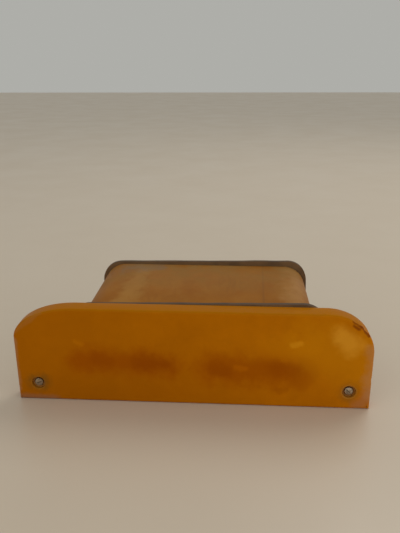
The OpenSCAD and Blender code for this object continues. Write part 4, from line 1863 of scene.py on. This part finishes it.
@dataclass
class ThumbNut:
    """A turned brass nut with a fluted grip, held captive in the cover.

    The underside and the crown are given in millimetres, as how far in from the grip's radius and
    how far from its end each ring lies.
    """

    number: int
    flutes: int = 18
    flute_depth: float = 0.55 * MM
    fluted_from: float = 5.5 * MM
    bore: float = 2.05 * MM
    bore_edge: float = 0.4 * MM
    neck: float = 3.4 * MM
    neck_edge: float = 0.2 * MM
    grip_length: float = 8.0 * MM
    grip_bands: int = 6
    under: Profile = ((0.8, 0.0), (0.45, 0.05), (0.1, 0.3), (0.0, 0.65))
    crown: Profile = ((0.12, 0.75), (0.45, 0.4), (0.9, 0.25), (1.1, 0.6), (1.5, 0.6), (1.7, 0.1),
                      (3.1, 0.0), (3.5, 0.0))

    def flute(self, angle: float, radius: float, height: float) -> float:
        """Press the flutes into the grip.

        Args:
            angle: the angle round the axis.
            radius: the radius before the cut.
            height: the height along the axis. Not used.

        Returns:
            The radius after it.
        """
        if radius < self.fluted_from:
            return radius
        wave = 0.5 + 0.5 * math.cos(self.flutes * angle)
        return radius - self.flute_depth * wave ** 3

    def build(self) -> bpy.types.Object:
        """Turn the nut from its neck to its crowned end.

        Returns:
            The nut.
        """
        node = f"thumb_nut_{self.number}"
        room = room_of(node)
        radius, long = room.size.x / 2, room.size.y
        grip = long - self.grip_length
        profile = [(self.bore, 0.0), (self.neck - self.neck_edge, 0.0), (self.neck, self.neck_edge),
                   (self.neck, grip)]
        profile += [(radius - inward * MM, grip + up * MM) for inward, up in self.under]
        profile += [(radius, grip + (2.0 + 0.8 * k) * MM) for k in range(self.grip_bands)]
        profile += [(radius - inward * MM, long - down * MM) for inward, down in self.crown]
        profile.append((self.bore, long - self.bore_edge))
        at = Vector((room.middle.x, room.low.y, room.middle.z))
        blank = Blank().turn(profile, Heading.REAR.stand(at), 8 * self.flutes, True, self.flute)
        return blank.finish(f"fluted_nut_{self.number}", node, crease=32.0)


@dataclass
class FestoonLamp:
    """A double-ended lamp: glass tube, two pointed caps and a coiled wire.

    The steps of a cap are its radius and height as shares of the cap's own.
    """

    side: str
    neck: float = 3.9 * MM
    wall: float = 0.6 * MM
    shoulder: float = 4.5 * MM
    cap_steps: Profile = (
        (0.0, 0.0), (0.93, 0.0), (1.0, 0.03), (1.0, 0.12), (0.93, 0.16), (0.93, 0.2), (1.0, 0.24),
        (1.0, 0.56), (0.98, 0.6), (0.9, 0.64), (0.42, 0.88), (0.36, 0.91), (0.3, 0.96),
        (0.16, 0.992), (0.0, 1.0))
    wire: float = 0.11 * MM
    turns: int = 30
    steps_a_turn: int = 12
    coiled: float = 0.55
    tail_steps: int = 6
    taper: float = 12.0

    def glass(self) -> bpy.types.Object:
        """Draw the tube in at both ends.

        Returns:
            The tube.
        """
        node = f"{self.side}_lamp_glass"
        room = room_of(node)
        radius, half = room.size.z / 2, room.size.x / 2
        shares = [i / 10 for i in range(11)]
        left = [(self.neck + (radius - self.neck) * (0.5 - 0.5 * math.cos(math.pi * s)),
                 self.shoulder * s - half) for s in shares]
        outside = left + [(radius, 0.0)] + [(r, -h) for r, h in left[::-1]]
        inside = [(r - self.wall, h) for r, h in outside[::-1]]
        blank = Blank().turn(outside + inside, Heading.RIGHT.stand(room.middle), 48, closed=True)
        return blank.finish(f"{self.side}_glass_tube", node, crease=60.0)

    def caps(self) -> bpy.types.Object:
        """Press the two caps, each with its rolled ring and soldered point.

        Returns:
            The caps.
        """
        node = f"{self.side}_lamp_caps"
        whole = Blank()
        rooms = sorted(rooms_in(node), key=lambda r: r.middle.x)
        for room, way in zip(rooms, (Heading.LEFT, Heading.RIGHT)):
            radius, long = room.size.z / 2, room.size.x
            inner = room.high.x if way is Heading.LEFT else room.low.x
            profile = [(r * radius, h * long) for r, h in self.cap_steps]
            at = Vector((inner, room.middle.y, room.middle.z))
            whole.turn(profile, way.stand(at), 40)
        return whole.finish(f"{self.side}_pressed_caps", node)

    def filament(self) -> bpy.types.Object:
        """Wind the wire into a coil between two straight tails.

        Returns:
            The wire.
        """
        node = f"{self.side}_lamp_filament"
        room = room_of(node)
        half, coil = room.size.x / 2, room.size.z / 2 - self.wire
        reach = self.coiled * half
        tail = [(half - reach) * k / self.tail_steps for k in range(self.tail_steps + 1)]
        path = [room.middle + Vector((along - half, 0, 0)) for along in tail[:-1]]
        count = self.turns * self.steps_a_turn
        for i in range(count + 1):
            t = i / count
            swell = coil * min(1.0, self.taper * t, self.taper * (1 - t))
            turn = 2 * math.pi * self.turns * t
            path.append(room.middle + Vector((-reach + 2 * reach * t, swell * math.cos(turn),
                                              swell * math.sin(turn))))
        path += [room.middle + Vector((reach + along, 0, 0)) for along in tail[1:]]
        return Blank().sweep(path, self.wire, 7).finish(f"{self.side}_coiled_wire", node)

    def build(self) -> list[bpy.types.Object]:
        """Make the three parts of the lamp."""
        return [self.glass(), self.caps(), self.filament()]


@dataclass
class GearTray:
    """The rear cover with everything that draws out on it.

    Each part is given with the width of its rounded edges in millimetres and their faces.
    """

    parts: tuple[tuple[str, float, int], ...] = (
        ("rear_cover", 0.5, 3), ("cover_washers", 0.15, 2), ("lamp_tray", 0.2, 2),
        ("reflector", 0.15, 2), ("reflector_rivets", 0.2, 3),
        ("lamp_board", 0.2, 2), ("board_screws", 0.2, 3), ("left_end_clip", 0.12, 2),
        ("centre_clip", 0.12, 2), ("right_end_clip", 0.12, 2), ("clip_rivets", 0.2, 3),
        ("terminal_block", 0.35, 3), ("terminal_sleeves", 0.1, 2), ("terminal_screws", 0.1, 2),
        ("block_screws", 0.2, 3), ("earth_screw", 0.15, 2), ("earth_tag", 0.1, 2),
        ("earth_nut", 0.15, 2), ("gland_body", 0.3, 3), ("gland_washer", 0.2, 3),
        ("gland_locknut", 0.25, 2), ("gland_seal", 0.2, 2), ("gland_cap", 0.4, 3))
    leads: tuple[str, ...] = ("left_lead", "common_lead", "right_lead")

    def build(self) -> list[bpy.types.Object]:
        """Make the tray's parts, its lamps and its leads.

        Returns:
            The pieces.
        """
        made = [PlainPart(node, edge * MM, rounds).build() for node, edge, rounds in self.parts]
        made.append(PlainPart("tray_screws", 0.22 * MM, 3, slot=Heading.REAR).build())
        for side in ("left", "right"):
            made += FestoonLamp(side).build()
        made += [PlainPart(node, 0.0, 0, 70.0).build() for node in self.leads]
        return made


@dataclass
class CapturedNuts:
    """The four thumb nuts and the spring clips that keep them in the cover."""

    count: int = 4
    clip_edge: float = 0.15 * MM

    def build(self) -> list[bpy.types.Object]:
        """Make each nut and its clip.

        Returns:
            The pieces.
        """
        made = []
        for number in range(1, self.count + 1):
            made.append(ThumbNut(number).build())
            made.append(PlainPart(f"nut_clip_{number}", self.clip_edge).build())
        return made


# ---- the studio ----

@dataclass(frozen=True)
class FloorTop(Finish):
    """The floor's pale, slightly glossy top."""

    base: Colour = (0.72, 0.61, 0.48)

    def dress(self, board: Board, shader: bpy.types.Node) -> None:
        """Lay a pale, slightly uneven top.

        Args:
            board: the material's board.
            shader: the surface's own node.
        """
        cloud = board.clouds(9.0, 4.0)
        darker = tuple(c * 0.94 for c in self.base)
        board.feed(shader.inputs["Base Color"], board.mix(cloud, self.base, darker))
        board.feed(shader.inputs["Roughness"], board.ramp(cloud, 0.2, 0.8, 0.30, 0.42))
        shader.inputs["Specular IOR Level"].default_value = 0.5


@dataclass
class SoftLight:
    """One soft light of the studio."""

    name: str
    at: tuple[float, float, float]
    aim: tuple[float, float, float]
    size: float
    power: float
    colour: Colour = (1.0, 1.0, 1.0)

    def build(self) -> None:
        """Hang the light."""
        data = bpy.data.lights.new(self.name, "AREA")
        data.shape = "DISK"
        data.size = self.size
        data.energy = self.power
        data.color = self.colour
        light = bpy.data.objects.new(self.name, data)
        light.location = self.at
        light.rotation_euler = (Vector(self.at) - Vector(self.aim)).to_track_quat("Z", "Y").to_euler()
        bpy.context.scene.collection.objects.link(light)


@dataclass
class Studio:
    """A pale floor, soft light and the camera."""

    floor_half: float = 4.0
    floor_drop: float = 0.02 * MM
    sky: Colour = (0.80, 0.80, 0.75)
    sky_power: float = 0.53
    eye: tuple[float, float, float] = (0.0292, -0.3556, 0.2230)
    forward: tuple[float, float] = (-0.0654, 0.9979)
    dip: float = 19.36
    roll: float = -0.23
    lens: float = 39.85
    lights: tuple[SoftLight, ...] = (
        SoftLight("key", (0.55, 0.75, 1.25), (0.0, 0.03, 0.03), 0.9, 4.5, (1.0, 0.97, 0.93)),
        SoftLight("fill", (-0.9, -1.1, 1.0), (0.0, 0.0, 0.03), 1.3, 2.5, (0.95, 0.97, 1.0)),
        SoftLight("side", (1.0, -0.5, 0.5), (0.05, 0.0, 0.03), 0.7, 1.6, (1.0, 0.97, 0.94)))

    def floor(self) -> None:
        """Lay the floor just under the plate's bottom edge."""
        blank = Blank()
        half = self.floor_half
        corners = [(-half, -half), (half, -half), (half, half), (-half, half)]
        blank.mesh.faces.new(blank.verts([Vector((x, y, -self.floor_drop)) for x, y in corners]))
        data = bpy.data.meshes.new("floor")
        blank.mesh.to_mesh(data)
        blank.mesh.free()
        data.materials.append(FloorTop("pale floor").make())
        floor = bpy.data.objects.new("floor", data)
        bpy.context.scene.collection.objects.link(floor)

    def camera(self) -> None:
        """Set up the camera."""
        data = bpy.data.cameras.new("camera")
        data.lens = self.lens
        data.sensor_width = 36.0
        data.sensor_height = 36.0
        data.sensor_fit = "AUTO"
        camera = bpy.data.objects.new("camera", data)
        dip = math.radians(self.dip)
        ahead = Vector((self.forward[0] * math.cos(dip), self.forward[1] * math.cos(dip),
                        -math.sin(dip)))
        right = ahead.cross(Vector((0, 0, 1))).normalized()
        above = right.cross(ahead)
        turn = Matrix((right, above, -ahead)).transposed().to_4x4()
        spin = Matrix.Rotation(math.radians(self.roll), 4, "Z")
        camera.matrix_world = Matrix.Translation(self.eye) @ turn @ spin
        bpy.context.scene.collection.objects.link(camera)
        bpy.context.scene.camera = camera

    def build(self) -> None:
        """Set up floor, world, lights and camera."""
        self.floor()
        world = bpy.data.worlds.new("soft sky")
        world.use_nodes = True
        background = world.node_tree.nodes["Background"]
        background.inputs["Color"].default_value = (*self.sky, 1.0)
        background.inputs["Strength"].default_value = self.sky_power
        bpy.context.scene.world = world
        for light in self.lights:
            light.build()
        self.camera()
        bpy.context.scene.view_settings.view_transform = "Standard"


def main() -> None:
    """Build every sub-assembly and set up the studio."""
    logging.basicConfig(level=logging.INFO, format="%(message)s")
    housing = [FacePlate(), Barrel(), Gasket("front_gasket"),
               Gasket("rear_gasket", seed=9.0), PanelScrews(), ScrewCups(), TieRods(), FaceInserts()]
    for part in housing:
        part.build()
    GearTray().build()
    CapturedNuts().build()
    Studio().build()


if __name__ == "__main__":
    main()
